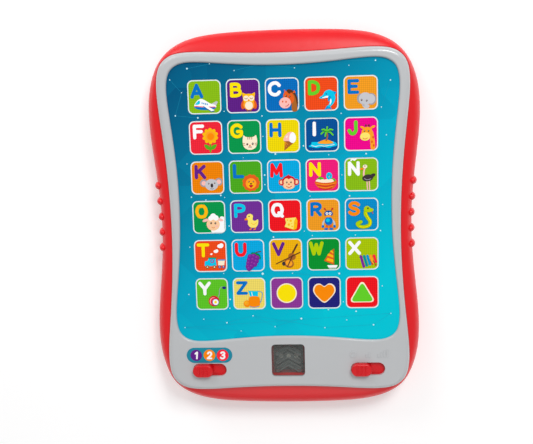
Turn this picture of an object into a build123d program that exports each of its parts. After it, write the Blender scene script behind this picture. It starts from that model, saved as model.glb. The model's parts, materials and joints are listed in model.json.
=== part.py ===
"""Kids toy tablet: a red two-part case, a grey front bezel and thirty picture keys.

Millimetres. The tablet lies on its back with the screen up: +Z out of the screen,
+Y towards the top edge, +X to the right. The origin is the middle of the footprint.
"""

import os
from math import cos, pi, sin
from typing import NamedTuple

from build123d import *

os.makedirs("parts", exist_ok=True)

# ---------------------------------------------------------------- driving sizes
# Heights, from the table up
back_wall = 2.0
parting_height = 12.5  # the two housings meet here, where the case is widest
rim_rise = 8.7  # parting line to the top of the red rim
seat_depth = 1.4  # how deep the bezel sits inside the rim
deck_thickness = 1.6
bezel_height = 5.2
screen_recess = 1.5  # bezel top down to the printed film
film_thickness = 0.4

# Walls and clearances
case_wall = 2.2
bezel_wall = 2.0
seat_gap = 0.15  # all round the bezel, inside the rim
rim_land = 0.35  # width of the rim's top edge
film_tuck = 1.5  # how far the film runs under the bezel's lip
tuck_gap = 0.05  # between the film and the lip over it
deck_ledge = 2.5  # how far the deck reaches in under the screen
pocket_gap = 0.4  # beside a key, in the support plate
slip = 0.2  # general clearance of pieces that drop into place
moving_gap = 0.3  # clearance beside pieces that move

# Key grid
key_side = 20.8
key_corner = 3.3
key_gap_x = 3.2
key_gap_y = 4.2
key_columns = 5
key_rows = 6
key_thickness = 0.8
key_travel = 0.6
key_slit = 0.12  # between a key and the film round it
pocket_floor_gap = 0.4  # left under a fully pressed key
stem_radius = 3.0
dome_radius = 5.0
dome_height = 1.5
dome_wall = 0.7
dome_air = 0.1  # between a dome and the pressed key's stem
dome_sink = 0.5  # dome tops below the deck
mat_thickness = 0.8
mat_inset = 2.0  # inside the key grid's edge
board_thickness = 1.6
board_side_margin = 1.6  # keypad board beyond the key grid
board_end_margin = 4.5
board_hole_inset = 3.0  # from the board's end to its screw holes

# Margins from the key grid outwards
screen_side_margin = 8.1
screen_top_margin = 7.7
screen_bottom_margin = 17.7
bezel_side_width = 6.1
bezel_top_width = 7.6
bezel_bottom_width = 34.6
flank_side_width = 7.7
flank_end_width = 14.4

# How the outlines bow: extra half width and half length gained at the corners
screen_side_swell = 11.5
screen_end_swell = 8.5
bezel_end_swell = 6.2
case_end_swell = -0.8
bezel_corner_margin = 0.38  # bezel beyond the screen's bottom corners, before rounding
flank_corner_margin = 0.3  # case beyond the bezel's corners, before rounding
screen_squareness = 7.0
case_squareness = 5.2
shallow_turn = pi / 18  # the bow grows as a square
shoulder_turn = 2 * pi / 3  # the bow peaks at the shoulders, before the corner
flank_fullness = 0.92  # towards 1, the flank is a quarter ellipse

# Edge rounding
back_edge_radius = 8.0
bezel_roll = 3.6
lip_radius = 1.2

# Grip bumps on the waist
bump_count = 5
bump_pitch = 10.1
bump_radius = 2.9
bump_half_height = 6.0
bump_proud = 1.9
bump_middle_y = 5.7

# Light window
window_side = 21.5
window_corner = 2.5
window_rise = 18.4  # its middle above the bezel's bottom edge
lens_flange = 1.3
lens_flange_thickness = 0.7
lens_sink = 0.1
well_wall = 1.6
well_depth_inside = 6.0
well_base = 1.6
guide_ledge = 1.2
guide_base = 1.0
chevron_count = 3
chevron_pitch = 5.6
chevron_width = 3.4
chevron_height = 2.6
chevron_rise = 5.0
chevron_half = 8.2
chevron_peak = 9.2  # above the window's middle
chevron_round = 1.2
led_count = 3
led_pitch = 5.0
led_radius = 1.5
led_height = 1.4
led_board_ear = 7.0

# Slide knobs
slot_length = 22.0
slot_width = 8.6
slot_middle_x = 51.2
slot_rise = 12.3  # their middle above the bezel's bottom edge
knob_length = 13.2
knob_width = 8.2
knob_proud = 3.6
knob_rib_count = 3
knob_rib_pitch = 2.6
knob_rib_height = 0.6
knob_rib_width = 1.1
knob_rib_length = 5.4
knob_edge = 0.9
flange_thickness = 1.2
flange_width = 10.6
flange_corner = 3.0
flange_lap = 1.0
post_length = 3.0
post_width = 2.4
post_depth = 1.8  # into the switch
switch_length = 20.0
switch_width = 8.0
switch_height = 4.6
volume_mark_height = 0.3
volume_mark_width = 0.9
volume_mark_pitch = 1.9
volume_mark_rise = 21.1  # their line above the bezel's bottom edge
volume_mark_spread = 9.5
volume_mark_ring = 2.2
volume_mark_low = 2.0  # height of the lowest bar
volume_mark_step = 1.1
volume_mark_lift = 1.0  # ring's middle above, and bars' feet below, the marks' line

# Mode label
label_length = 29.8
label_width = 10.2
label_thickness = 0.15
label_middle_x = -51.1
label_rise = 22.3  # its middle above the bezel's bottom edge

# Battery bay and door
cell_radius = 5.2
cell_length = 44.5
cell_nub_radius = 1.9
cell_nub_length = 0.9
cell_count = 3
cell_gap = 0.8
cell_air = 0.5  # above the door and under the bay's ceiling
contact_thickness = 0.4
contact_side = 8.0
bay_end_room = 3.6  # at each end, for the springs and the contact plates
bay_wall = 1.6
bay_ceiling = 1.4
bay_middle_y = -30.0
tab_room = 1.8  # beside the lowest cell, for the swinging tabs
door_thickness = 1.8
door_sink = 0.5  # below the back face, so the tablet never stands on its door
door_gap = 0.25
hinge_gap = 0.2
tab_width = 9.0
tab_spacing = 30.0
tab_overlap = 1.2  # past the bay wall
tab_thickness = 1.4
tab_lift = 0.2  # above the housing floor
tab_neck = 2.5
tongue_radius = 5.0
door_boss_wall = 1.8
door_boss_sunk = 0.6  # the screw boss runs this far into the bay's wall
door_screw_room = 0.9  # so the captive screw clears its boss as the door swings
door_screw_length = 7.6
spring_wire = 0.35
spring_radius = 3.0
spring_turns = 4
spring_end_gap = 0.05

# Speaker
speaker_middle_y = 64.0
speaker_radius = 20.0
speaker_rim = 2.4  # width of the basket's flat rim
speaker_rim_height = 2.0
speaker_depth = 7.0
speaker_back_radius = 11.0
speaker_wall = 0.8
cone_thickness = 0.4
cone_lift = 4.4
cone_cap_radius = 4.8
magnet_radius = 9.5
magnet_height = 3.6
clamp_thickness = 1.6
clamp_ear_radius = 3.4
clamp_ear_sunk = 1.0  # the ears run this far into the clamp's ring
locating_wall = 1.2
terminal_overlap = 1.5  # beyond each lead
terminal_width = 3.0
terminal_height = 4.0
terminal_gap = 0.5  # from the basket's back
grille_hole_radius = 1.0
grille_ring_pitch = 4.0
grille_rings = 4

# Main board and wiring
main_board_length = 58.0
main_board_width = 26.0
main_board_middle_y = 18.0
main_board_height = 8.0  # its underside above the table
chip_radius = 5.0
chip_height = 1.4
board_edge = 4.0  # screw hole to board edge
ribbon_width = 10.0
ribbon_thickness = 0.3
ribbon_bend = 1.4
ribbon_reach = 10.0
solder_inset = 2.0  # ribbon from the main board's edge
lead_gap = 2.5  # speaker leads beside the ribbon
lead_rise = 3.0  # speaker leads above the speaker's back
lead_bow = 5.0
wire_radius = 0.6
wire_bend = 1.6

# Fasteners
screw_radius = 1.3
screw_head_radius = 2.6
screw_head_height = 1.8
pilot_gap = 0.05
shank_gap = 0.3
boss_wall = 2.2
well_radius = 3.2
well_depth = 5.0
screw_well_wall = 1.0
top_screw_x = 50.0
bottom_screw_x = 28.0
side_screw_gap = 2.5  # between a side screw's boss and the keypad board
end_screw_gap = 4.0  # between an end screw's boss and what is beside it
screw_tip_gap = 0.5  # under the end of a housing screw
small_screw_radius = 1.0
small_head_radius = 2.1
small_head_height = 1.2
small_boss_radius = 2.6
small_boss_gap = 0.6
blind_depth = 1.0  # of floor left or drilled for the small screws
board_screw_length = 5.0
door_head_height = 1.0
drive_width = 0.7  # arms of the cross recess
drive_depth = 0.6

# ---------------------------------------------------------------- derived levels
rim_top = parting_height + rim_rise
deck_top = rim_top - seat_depth
deck_underside = deck_top - deck_thickness
bezel_top = deck_top + bezel_height
bezel_skin = bezel_top - bezel_wall
film_top = bezel_top - screen_recess
film_underside = film_top - film_thickness
key_underside = film_top - key_thickness
pocket_floor = key_underside - key_travel - pocket_floor_gap
dome_top = deck_top - dome_sink
stem_bottom = dome_top + dome_air + key_travel
board_top = dome_top - dome_height - mat_thickness
board_underside = board_top - board_thickness

key_pitch_x = key_side + key_gap_x
key_pitch_y = key_side + key_gap_y
grid_half_x = (key_columns * key_pitch_x - key_gap_x) / 2
grid_half_y = (key_rows * key_pitch_y - key_gap_y) / 2
screen_half_x = grid_half_x + screen_side_margin
screen_half_y = grid_half_y + (screen_top_margin + screen_bottom_margin) / 2
bezel_half_x = screen_half_x + bezel_side_width
bezel_half_y = screen_half_y + (bezel_top_width + bezel_bottom_width) / 2
case_half_x = bezel_half_x + flank_side_width
case_half_y = bezel_half_y + flank_end_width
screen_middle_y = bezel_half_y - bezel_top_width - screen_half_y
grid_middle_y = bezel_half_y - bezel_top_width - screen_top_margin - grid_half_y
window_middle_y = window_rise - bezel_half_y
slot_middle_y = slot_rise - bezel_half_y
volume_mark_y = volume_mark_rise - bezel_half_y
label_middle_y = label_rise - bezel_half_y


def swell(level, turn):
    """How much of the bow is reached at a level from 0, mid side, to 1, the corner."""
    return (sin(turn * level) / sin(turn)) ** 2


# The bezel bows enough to pass outside the screen's bottom corners, and the case outside it
screen_bottom_level = (screen_half_y - screen_middle_y) / bezel_half_y
bezel_corner_x = screen_half_x + screen_side_swell + bezel_corner_margin
bezel_side_swell = (bezel_corner_x - bezel_half_x) / swell(screen_bottom_level, shallow_turn)
case_side_swell = bezel_half_x + bezel_side_swell + flank_corner_margin - case_half_x


class Outline(NamedTuple):
    """A four-sided outline with bowed sides and soft corners."""

    half_x: float
    half_y: float
    swell_x: float
    swell_y: float
    squareness: float
    turn: float
    middle_y: float = 0.0


case_outline = Outline(
    case_half_x, case_half_y, case_side_swell, case_end_swell, case_squareness, shoulder_turn
)
bezel_outline = Outline(
    bezel_half_x, bezel_half_y, bezel_side_swell, bezel_end_swell, screen_squareness, shallow_turn
)
screen_outline = Outline(
    screen_half_x,
    screen_half_y,
    screen_side_swell,
    screen_end_swell,
    screen_squareness,
    shallow_turn,
    screen_middle_y,
)
outline_points = 80


def outline_point(outline, angle, grow=0.0):
    """The outline's point in the direction of an angle, moved out by grow."""
    power = outline.squareness
    reach = (abs(cos(angle)) ** power + abs(sin(angle)) ** power) ** (-1 / power)
    across = reach * cos(angle)
    along = reach * sin(angle)
    x = across * (outline.half_x + grow + outline.swell_x * swell(along, outline.turn))
    y = along * (outline.half_y + grow + outline.swell_y * swell(across, outline.turn))
    return Vector(x, y + outline.middle_y)


def outline_half_x(outline, y):
    """Half width of an outline at a given y, away from its corners."""
    along = (y - outline.middle_y) / outline.half_y
    across = (1 - abs(along) ** outline.squareness) ** (1 / outline.squareness)
    return across * (outline.half_x + outline.swell_x * swell(along, outline.turn))


def outline_face(outline, grow=0.0, other=None, share=0.0, other_grow=0.0):
    """A flat face inside an outline, or inside a blend of two, for add() in a sketch."""
    points = []
    for step in range(outline_points):
        angle = 2 * pi * step / outline_points
        point = outline_point(outline, angle, grow)
        if other is not None:
            far = outline_point(other, angle, other_grow)
            point = point * (1 - share) + far * share
        points.append(point)
    with BuildSketch() as face:
        with BuildLine():
            Spline(*points, periodic=True)
        make_face()
    return face.sketch


def flank_share(level):
    """How far the red flank has moved from the case outline to the bezel's, by level."""
    lean = 1 - (1 - (flank_fullness * level) ** 2) ** 0.5
    return lean / (1 - (1 - flank_fullness**2) ** 0.5)


def save(part, name):
    """Label a finished piece and write it to its own file."""
    part.label = name
    export_step(part, f"parts/{name}.step")


# ---------------------------------------------------------------- places
up = (Align.CENTER, Align.CENTER, Align.MIN)
down = (Align.CENTER, Align.CENTER, Align.MAX)

key_places = [
    (
        (column - (key_columns - 1) / 2) * key_pitch_x,
        grid_middle_y + ((key_rows - 1) / 2 - row) * key_pitch_y,
    )
    for row in range(key_rows)
    for column in range(key_columns)
]
key_names = [*"abcdefghijklmn", "enye", *"opqrstuvwxyz", "circle", "heart", "triangle"]

bump_ys = [bump_middle_y + (i - (bump_count - 1) / 2) * bump_pitch for i in range(bump_count)]
bump_reach = bump_proud - bump_radius
bump_places = [
    Location(
        (side * (outline_half_x(case_outline, y) + bump_reach), y, parting_height),
        (0, 0, 90 + 90 * side),
    )
    for side in (-1, 1)
    for y in bump_ys
]

boss_radius = screw_radius + boss_wall
board_half_x = grid_half_x + board_side_margin
board_half_y = grid_half_y + board_end_margin
side_screw_x = board_half_x + boss_radius + side_screw_gap
top_screw_y = grid_middle_y + board_half_y + boss_radius + end_screw_gap
bottom_screw_y = -(case_half_y - back_edge_radius - well_radius - end_screw_gap)
housing_screw_places = [
    (side * x, y)
    for x, y in (
        (top_screw_x, top_screw_y),
        (side_screw_x, grid_middle_y),
        (bottom_screw_x, bottom_screw_y),
    )
    for side in (-1, 1)
]

window_half = window_side / 2
well_half = window_half + lens_flange + slip + well_wall
lens_seat = bezel_skin - lens_flange_thickness
guide_seat = bezel_skin - well_depth_inside
well_bottom = guide_seat - well_base
led_board_half_x = well_half + led_board_ear
led_board_half_y = well_half - well_wall
led_screw_x = well_half + small_boss_radius + small_boss_gap
bezel_screw_x = led_screw_x + 2 * small_boss_radius + 2 * small_boss_gap

knob_travel = slot_length - knob_length - 2 * slip
knob_offset = -knob_travel / 2
flange_top = bezel_skin - slip
flange_bottom = flange_top - flange_thickness
slot_places = {"mode": -slot_middle_x, "volume": slot_middle_x}

cell_pitch = 2 * cell_radius + cell_gap
cell_ys = [bay_middle_y + (i - (cell_count - 1) / 2) * cell_pitch for i in range(cell_count)]
door_top = door_sink + door_thickness
cell_z = door_top + cell_air + cell_radius
bay_top = cell_z + cell_radius + cell_air
bay_half_x = cell_length / 2 + bay_end_room
bay_high_y = cell_ys[-1] + cell_radius + cell_gap
bay_low_y = cell_ys[0] - cell_radius - cell_gap - tab_room
hinge_radius = door_thickness / 2
hinge_y = bay_low_y + hinge_gap + hinge_radius
hinge_z = door_sink + hinge_radius
door_half_x = bay_half_x - door_gap
door_screw_hole = screw_radius + door_screw_room
door_boss_radius = door_screw_hole + door_boss_wall
door_screw_y = bay_high_y + bay_wall + door_boss_radius - door_boss_sunk
tab_places = [-tab_spacing / 2, tab_spacing / 2]
tab_bottom = back_wall + tab_lift
tab_tip_y = bay_low_y - bay_wall - tab_overlap
tab_swing = Vector(hinge_y - tab_tip_y, tab_bottom + tab_thickness - hinge_z).length
tab_window_top = hinge_z + tab_swing + moving_gap

speaker_rim_top = back_wall + speaker_rim_height
speaker_back = speaker_rim_top + speaker_depth
speaker_ear_x = speaker_radius + slip + locating_wall + clamp_ear_radius - clamp_ear_sunk
speaker_screw_places = [(side * speaker_ear_x, speaker_middle_y) for side in (-1, 1)]

main_board_top = main_board_height + board_thickness
main_screw_places = [
    (side_x * (main_board_length / 2 - board_edge),
     main_board_middle_y + side_y * (main_board_width / 2 - board_edge))
    for side_x in (-1, 1)
    for side_y in (-1, 1)
]
board_screw_places = [
    (side_x * 1.5 * key_pitch_x, grid_middle_y + side_y * (board_half_y - board_hole_inset))
    for side_x in (-1, 1)
    for side_y in (-1, 1)
]


def cross_recess(depth):
    """Cut a cross recess for a screwdriver at the current places."""
    for length, width in ((screw_head_radius, drive_width), (drive_width, screw_head_radius)):
        Box(length, width, 2 * depth, mode=Mode.SUBTRACT)


# ---------------------------------------------------------------- forms used more than once
with BuildPart() as bump_form:
    with BuildSketch(Plane.XZ):
        Ellipse(bump_radius, bump_half_height)
        with Locations((-bump_radius, 0)):
            Rectangle(2 * bump_radius, 3 * bump_half_height, mode=Mode.SUBTRACT)
    revolve(axis=Axis.Z)

with BuildPart() as back_hollow:
    with BuildSketch(Plane.XY.offset(back_wall)):
        add(outline_face(case_outline, -case_wall))
    extrude(amount=parting_height)
    fillet(back_hollow.faces().sort_by(Axis.Z)[0].edges(), back_edge_radius - case_wall)

# The rim's wall thickens upwards by half, where its outside leans in most
hollow_level = (deck_underside - parting_height) / rim_rise
with BuildPart() as front_hollow:
    for share in (0, 0.5, 1):
        level = share * hollow_level
        inset = case_wall * (1 + share / 2)
        with BuildSketch(Plane.XY.offset(parting_height + level * rim_rise)):
            edge = seat_gap + rim_land - inset
            add(outline_face(case_outline, -inset, bezel_outline, flank_share(level), edge))
    loft()

# ---------------------------------------------------------------- back housing
with BuildPart() as back_housing:
    with BuildSketch():
        add(outline_face(case_outline))
    extrude(amount=parting_height)
    fillet(back_housing.faces().sort_by(Axis.Z)[0].edges(), back_edge_radius)
    with Locations(*bump_places):
        add(bump_form.part)
    split(bisect_by=Plane.XY.offset(parting_height), keep=Keep.BOTTOM)
    add(back_hollow.part, mode=Mode.SUBTRACT)
    # Battery bay, with a screw boss beside its far wall
    with BuildSketch():
        with Locations((0, (bay_low_y + bay_high_y) / 2)):
            Rectangle(2 * (bay_half_x + bay_wall), bay_high_y - bay_low_y + 2 * bay_wall)
    extrude(amount=bay_top + bay_ceiling)
    with Locations((0, door_screw_y)):
        Cylinder(door_boss_radius, bay_top, align=up)
    with BuildSketch():
        with Locations((0, (bay_low_y + bay_high_y) / 2)):
            Rectangle(2 * bay_half_x, bay_high_y - bay_low_y)
    extrude(amount=bay_top, mode=Mode.SUBTRACT)
    with BuildSketch():
        with Locations((0, door_screw_y)):
            Circle(tongue_radius + door_gap)
        with Locations((0, (bay_high_y + door_screw_y) / 2)):
            Rectangle(2 * (tongue_radius + door_gap), door_screw_y - bay_high_y)
    extrude(amount=door_top + door_gap, mode=Mode.SUBTRACT)
    with Locations((0, door_screw_y)):
        Cylinder(door_screw_hole, bay_top, align=up, mode=Mode.SUBTRACT)
    with Locations(*[(x, bay_low_y, back_wall) for x in tab_places]):
        Box(
            tab_width + 2 * moving_gap,
            2 * bay_wall + 2 * moving_gap,
            tab_window_top - back_wall,
            align=up,
            mode=Mode.SUBTRACT,
        )
    # Screw posts, open to the back as wells
    with Locations(*housing_screw_places):
        Cylinder(well_radius + screw_well_wall, parting_height, align=up)
        Cylinder(well_radius, well_depth, align=up, mode=Mode.SUBTRACT)
        Cylinder(screw_radius + shank_gap, parting_height, align=up, mode=Mode.SUBTRACT)
    # Speaker seat, its screw bosses and the grille
    with Locations((0, speaker_middle_y, back_wall)):
        Cylinder(speaker_radius + slip + locating_wall, speaker_rim_height, align=up)
        Cylinder(speaker_radius + slip, speaker_rim_height, align=up, mode=Mode.SUBTRACT)
    with Locations(*[(x, y, back_wall) for x, y in speaker_screw_places]):
        Cylinder(small_boss_radius, speaker_rim_height, align=up)
    with Locations(*[(x, y, blind_depth) for x, y in speaker_screw_places]):
        pilot_depth = back_wall + speaker_rim_height
        Cylinder(small_screw_radius + pilot_gap, pilot_depth, align=up, mode=Mode.SUBTRACT)
    for ring in range(1, grille_rings + 1):
        with Locations((0, speaker_middle_y)):
            with PolarLocations(ring * grille_ring_pitch, 6 * ring):
                Cylinder(grille_hole_radius, 2 * back_wall, align=up, mode=Mode.SUBTRACT)
    with Locations((0, speaker_middle_y)):
        Cylinder(grille_hole_radius, 2 * back_wall, align=up, mode=Mode.SUBTRACT)
    # Main board posts
    with Locations(*[(x, y, blind_depth) for x, y in main_screw_places]):
        Cylinder(small_boss_radius, main_board_height - blind_depth, align=up)
    with Locations(*[(x, y, back_wall) for x, y in main_screw_places]):
        Cylinder(
            small_screw_radius + pilot_gap, main_board_height, align=up, mode=Mode.SUBTRACT
        )
save(back_housing.part, "back_housing")

# ---------------------------------------------------------------- front housing
flank_levels = (0, 0.3, 0.6, 0.85, 1)
with BuildPart() as front_housing:
    for level in flank_levels:
        with BuildSketch(Plane.XY.offset(parting_height + level * rim_rise)):
            edge = seat_gap + rim_land
            add(outline_face(case_outline, 0, bezel_outline, flank_share(level), edge))
    loft()
    with Locations(*bump_places):
        add(bump_form.part)
    split(bisect_by=Plane.XY.offset(parting_height), keep=Keep.TOP)
    add(front_hollow.part, mode=Mode.SUBTRACT)
    with BuildSketch(Plane.XY.offset(deck_top)):
        add(outline_face(bezel_outline, seat_gap))
    extrude(amount=bezel_height, mode=Mode.SUBTRACT)
    # Posts for the housing screws
    with Locations(*[(x, y, parting_height) for x, y in housing_screw_places]):
        Cylinder(boss_radius, deck_underside - parting_height, align=up)
    with Locations(*[(x, y, parting_height) for x, y in housing_screw_places]):
        Cylinder(
            screw_radius + pilot_gap,
            deck_underside - parting_height,
            align=up,
            mode=Mode.SUBTRACT,
        )
    # Opening under the keys
    with BuildSketch(Plane.XY.offset(deck_underside)):
        add(outline_face(screen_outline, -deck_ledge))
    extrude(amount=deck_thickness, mode=Mode.SUBTRACT)
    # Well of the light window, stepped for the light guide and the lens
    with Locations((0, window_middle_y, well_bottom)):
        Box(2 * well_half, 2 * well_half, bezel_skin - well_bottom, align=up)
        Box(
            2 * (window_half - guide_ledge),
            2 * (window_half - guide_ledge),
            well_base,
            align=up,
            mode=Mode.SUBTRACT,
        )
    with Locations((0, window_middle_y, guide_seat)):
        Box(window_side, window_side, lens_seat - guide_seat, align=up, mode=Mode.SUBTRACT)
    with Locations((0, window_middle_y, lens_seat)):
        flange_room = window_side + 2 * (lens_flange + slip)
        Box(flange_room, flange_room, bezel_height, align=up, mode=Mode.SUBTRACT)
    # Posts of the light board, screw holes of the bezel, and slots for the knobs' posts
    with Locations(*[(side * led_screw_x, window_middle_y, well_bottom) for side in (-1, 1)]):
        Cylinder(small_boss_radius, deck_underside - well_bottom, align=up)
        Cylinder(
            small_screw_radius + pilot_gap,
            deck_top - well_bottom - blind_depth,
            align=up,
            mode=Mode.SUBTRACT,
        )
    with Locations(*[(side * bezel_screw_x, window_middle_y, deck_underside) for side in (-1, 1)]):
        Cylinder(small_screw_radius + shank_gap, deck_thickness, align=up, mode=Mode.SUBTRACT)
    with Locations(*[(x, slot_middle_y, deck_underside) for x in slot_places.values()]):
        Box(
            knob_travel + post_length + 2 * moving_gap,
            post_width + 2 * moving_gap,
            deck_thickness,
            align=up,
            mode=Mode.SUBTRACT,
        )
save(front_housing.part, "front_housing")

# ---------------------------------------------------------------- front bezel
with BuildPart() as front_bezel:
    with BuildSketch(Plane.XY.offset(deck_top)):
        add(outline_face(bezel_outline))
    extrude(amount=bezel_height)
    fillet(front_bezel.faces().sort_by(Axis.Z)[-1].edges(), bezel_roll)
    with BuildSketch(Plane.XY.offset(deck_top)):
        add(outline_face(screen_outline))
    extrude(amount=bezel_height, mode=Mode.SUBTRACT)
    lip_edges = front_bezel.faces().sort_by(Axis.Z)[-1].inner_wires()[0].edges()
    fillet(lip_edges, lip_radius)
    with BuildSketch(Plane.XY.offset(deck_top)):
        add(outline_face(bezel_outline, -bezel_wall))
    extrude(amount=bezel_skin - deck_top, mode=Mode.SUBTRACT)
    with BuildSketch(Plane.XY.offset(deck_top)):
        add(outline_face(screen_outline, film_tuck + slip))
    extrude(amount=film_top + tuck_gap - deck_top, mode=Mode.SUBTRACT)
    with Locations(*[(side * bezel_screw_x, window_middle_y, deck_top) for side in (-1, 1)]):
        Cylinder(small_boss_radius, bezel_skin - deck_top, align=up)
        Cylinder(
            small_screw_radius + pilot_gap, bezel_skin - deck_top, align=up, mode=Mode.SUBTRACT
        )
    with BuildSketch(Plane.XY.offset(bezel_skin)):
        with Locations((0, window_middle_y)):
            RectangleRounded(window_side, window_side, window_corner)
        with Locations(*[(x, slot_middle_y) for x in slot_places.values()]):
            SlotOverall(slot_length, slot_width)
    extrude(amount=bezel_wall, mode=Mode.SUBTRACT)
    # Raised loudness marks: none, low and high
    with BuildSketch(Plane.XY.offset(bezel_top)):
        with Locations((slot_middle_x - volume_mark_spread, volume_mark_y + volume_mark_lift)):
            Circle(volume_mark_ring)
            Circle(volume_mark_ring - volume_mark_width, mode=Mode.SUBTRACT)
        for middle, bars in ((0, 2), (volume_mark_spread, 4)):
            for bar in range(bars):
                tall = volume_mark_low + volume_mark_step * bar
                x = slot_middle_x + middle + (bar - (bars - 1) / 2) * volume_mark_pitch
                with Locations((x, volume_mark_y + tall / 2 - volume_mark_lift)):
                    Rectangle(volume_mark_width, tall)
    extrude(amount=volume_mark_height)
save(front_bezel.part, "front_bezel")

# ---------------------------------------------------------------- film and keys
with BuildPart() as overlay_film:
    with BuildSketch(Plane.XY.offset(film_underside)):
        add(outline_face(screen_outline, film_tuck))
        with Locations(*key_places):
            opening = key_side + 2 * key_slit
            RectangleRounded(opening, opening, key_corner + key_slit, mode=Mode.SUBTRACT)
    extrude(amount=film_thickness)
save(overlay_film.part, "overlay_film")

with BuildPart() as key_support_plate:
    with BuildSketch(Plane.XY.offset(deck_top)):
        add(outline_face(screen_outline, film_tuck - slip))
    extrude(amount=film_underside - deck_top)
    with BuildSketch(Plane.XY.offset(pocket_floor)):
        with Locations(*key_places):
            pocket = key_side + 2 * pocket_gap
            RectangleRounded(pocket, pocket, key_corner + pocket_gap)
    extrude(amount=film_underside - pocket_floor, mode=Mode.SUBTRACT)
    with BuildSketch(Plane.XY.offset(deck_top)):
        with Locations(*key_places):
            Circle(stem_radius + moving_gap)
    extrude(amount=pocket_floor - deck_top, mode=Mode.SUBTRACT)
    with Locations(*[(x, y, board_top) for x, y in board_screw_places]):
        Cylinder(small_boss_radius, deck_top - board_top, align=up)
    with Locations(*[(x, y, board_top) for x, y in board_screw_places]):
        Cylinder(
            small_screw_radius + pilot_gap,
            board_screw_length - board_thickness + slip,
            align=up,
            mode=Mode.SUBTRACT,
        )
save(key_support_plate.part, "key_support_plate")

for key_name, (key_x, key_y) in zip(key_names, key_places):
    with BuildPart() as key:
        with BuildSketch(Plane.XY.offset(key_underside)):
            with Locations((key_x, key_y)):
                RectangleRounded(key_side, key_side, key_corner)
        extrude(amount=key_thickness)
        with Locations((key_x, key_y, key_underside)):
            Cylinder(stem_radius, key_underside - stem_bottom, align=down)
    save(key.part, f"key_{key_name}")

with BuildPart() as dome_mat:
    with BuildSketch(Plane.XY.offset(board_top)):
        with Locations((0, grid_middle_y)):
            Rectangle(2 * (grid_half_x - mat_inset), 2 * (grid_half_y - mat_inset))
    extrude(amount=mat_thickness)
    with Locations(*[(x, y, board_top + mat_thickness) for x, y in key_places]):
        Cone(dome_radius, stem_radius, dome_height, align=up)
    with Locations(*[(x, y, board_top) for x, y in key_places]):
        Cone(
            dome_radius - dome_wall,
            stem_radius - dome_wall,
            dome_height + mat_thickness - dome_wall,
            align=up,
            mode=Mode.SUBTRACT,
        )
save(dome_mat.part, "dome_mat")

with BuildPart() as keypad_board:
    with BuildSketch(Plane.XY.offset(board_underside)):
        with Locations((0, grid_middle_y)):
            Rectangle(2 * board_half_x, 2 * board_half_y)
        with Locations(*board_screw_places):
            Circle(small_screw_radius + shank_gap, mode=Mode.SUBTRACT)
    extrude(amount=board_thickness)
save(keypad_board.part, "keypad_board")

# ---------------------------------------------------------------- main board and wiring
with BuildPart() as main_board:
    with BuildSketch(Plane.XY.offset(main_board_height)):
        with Locations((0, main_board_middle_y)):
            Rectangle(main_board_length, main_board_width)
        with Locations(*main_screw_places):
            Circle(small_screw_radius + shank_gap, mode=Mode.SUBTRACT)
    extrude(amount=board_thickness)
    with Locations((0, main_board_middle_y - board_edge, main_board_top)):
        Cylinder(chip_radius, chip_height, align=up)
    chip_rim = main_board.faces().sort_by(Axis.Z)[-1].edges()
    fillet(chip_rim, chip_height / 2)
save(main_board.part, "main_board")

ribbon_y = main_board_middle_y + main_board_width / 2 - solder_inset
ribbon_level = (main_board_top + board_underside) / 2
with BuildPart() as ribbon_cable:
    with BuildSketch(Plane.YZ):
        with BuildLine() as ribbon_path:
            FilletPolyline(
                (ribbon_y, main_board_top),
                (ribbon_y, ribbon_level),
                (ribbon_y + ribbon_reach, ribbon_level),
                (ribbon_y + ribbon_reach, board_underside),
                radius=ribbon_bend,
            )
        trace(line_width=ribbon_thickness)
    extrude(amount=ribbon_width / 2, both=True)
save(ribbon_cable.part, "ribbon_cable")

# Speaker leads rise from the main board and drop on the speaker's terminals; battery
# leads leave the bay's end walls and run to the ends of the main board.
lead_x = ribbon_width / 2 + lead_gap
terminal_length = 2 * (lead_x + terminal_overlap)
terminal_y = speaker_middle_y - speaker_back_radius - terminal_width / 2 - terminal_gap
lead_level = speaker_back + lead_rise
lead_start_y = ribbon_y - solder_inset / 2
bay_end_x = bay_half_x + bay_wall
lead_z = main_board_height + board_thickness / 2
wire_routes = []
for side in (-1, 1):
    x = side * lead_x
    wire_routes.append(
        [
            (x, lead_start_y, main_board_top),
            (x, lead_start_y, lead_level),
            (x, terminal_y, lead_level),
            (x, terminal_y, speaker_back),
        ]
    )
    wire_routes.append(
        [
            (side * bay_end_x, cell_ys[1], lead_z),
            (side * (bay_end_x + lead_bow), cell_ys[1], lead_z),
            (side * (bay_end_x + lead_bow), main_board_middle_y, lead_z),
            (side * main_board_length / 2, main_board_middle_y, lead_z),
        ]
    )
with BuildPart() as wiring_leads:
    for route in wire_routes:
        with BuildLine() as lead_line:
            FilletPolyline(*route, radius=wire_bend)
        with BuildSketch(lead_line.line ^ 0):
            Circle(wire_radius)
        sweep(path=lead_line.line)
save(wiring_leads.part, "wiring_leads")

# ---------------------------------------------------------------- speaker
with BuildPart() as basket_form:
    with BuildSketch(Plane.XZ):
        with BuildLine():
            Polyline(
                (speaker_radius - speaker_rim, back_wall + slip),
                (speaker_radius, back_wall + slip),
                (speaker_radius, speaker_rim_top),
                (speaker_radius - speaker_rim, speaker_rim_top),
                (speaker_back_radius, speaker_back),
                (0, speaker_back),
                (0, speaker_back - speaker_wall),
                (speaker_back_radius - speaker_wall, speaker_back - speaker_wall),
                (speaker_radius - speaker_rim - speaker_wall, speaker_rim_top - speaker_wall),
                (speaker_radius - speaker_rim - speaker_wall, back_wall + slip),
                close=True,
            )
        make_face()
    revolve(axis=Axis.Z)
with BuildPart() as speaker_basket:
    with Locations((0, speaker_middle_y)):
        add(basket_form.part)
    with Locations((0, terminal_y, speaker_back)):
        Box(terminal_length, terminal_width, terminal_height, align=down)
save(speaker_basket.part, "speaker_basket")

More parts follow.
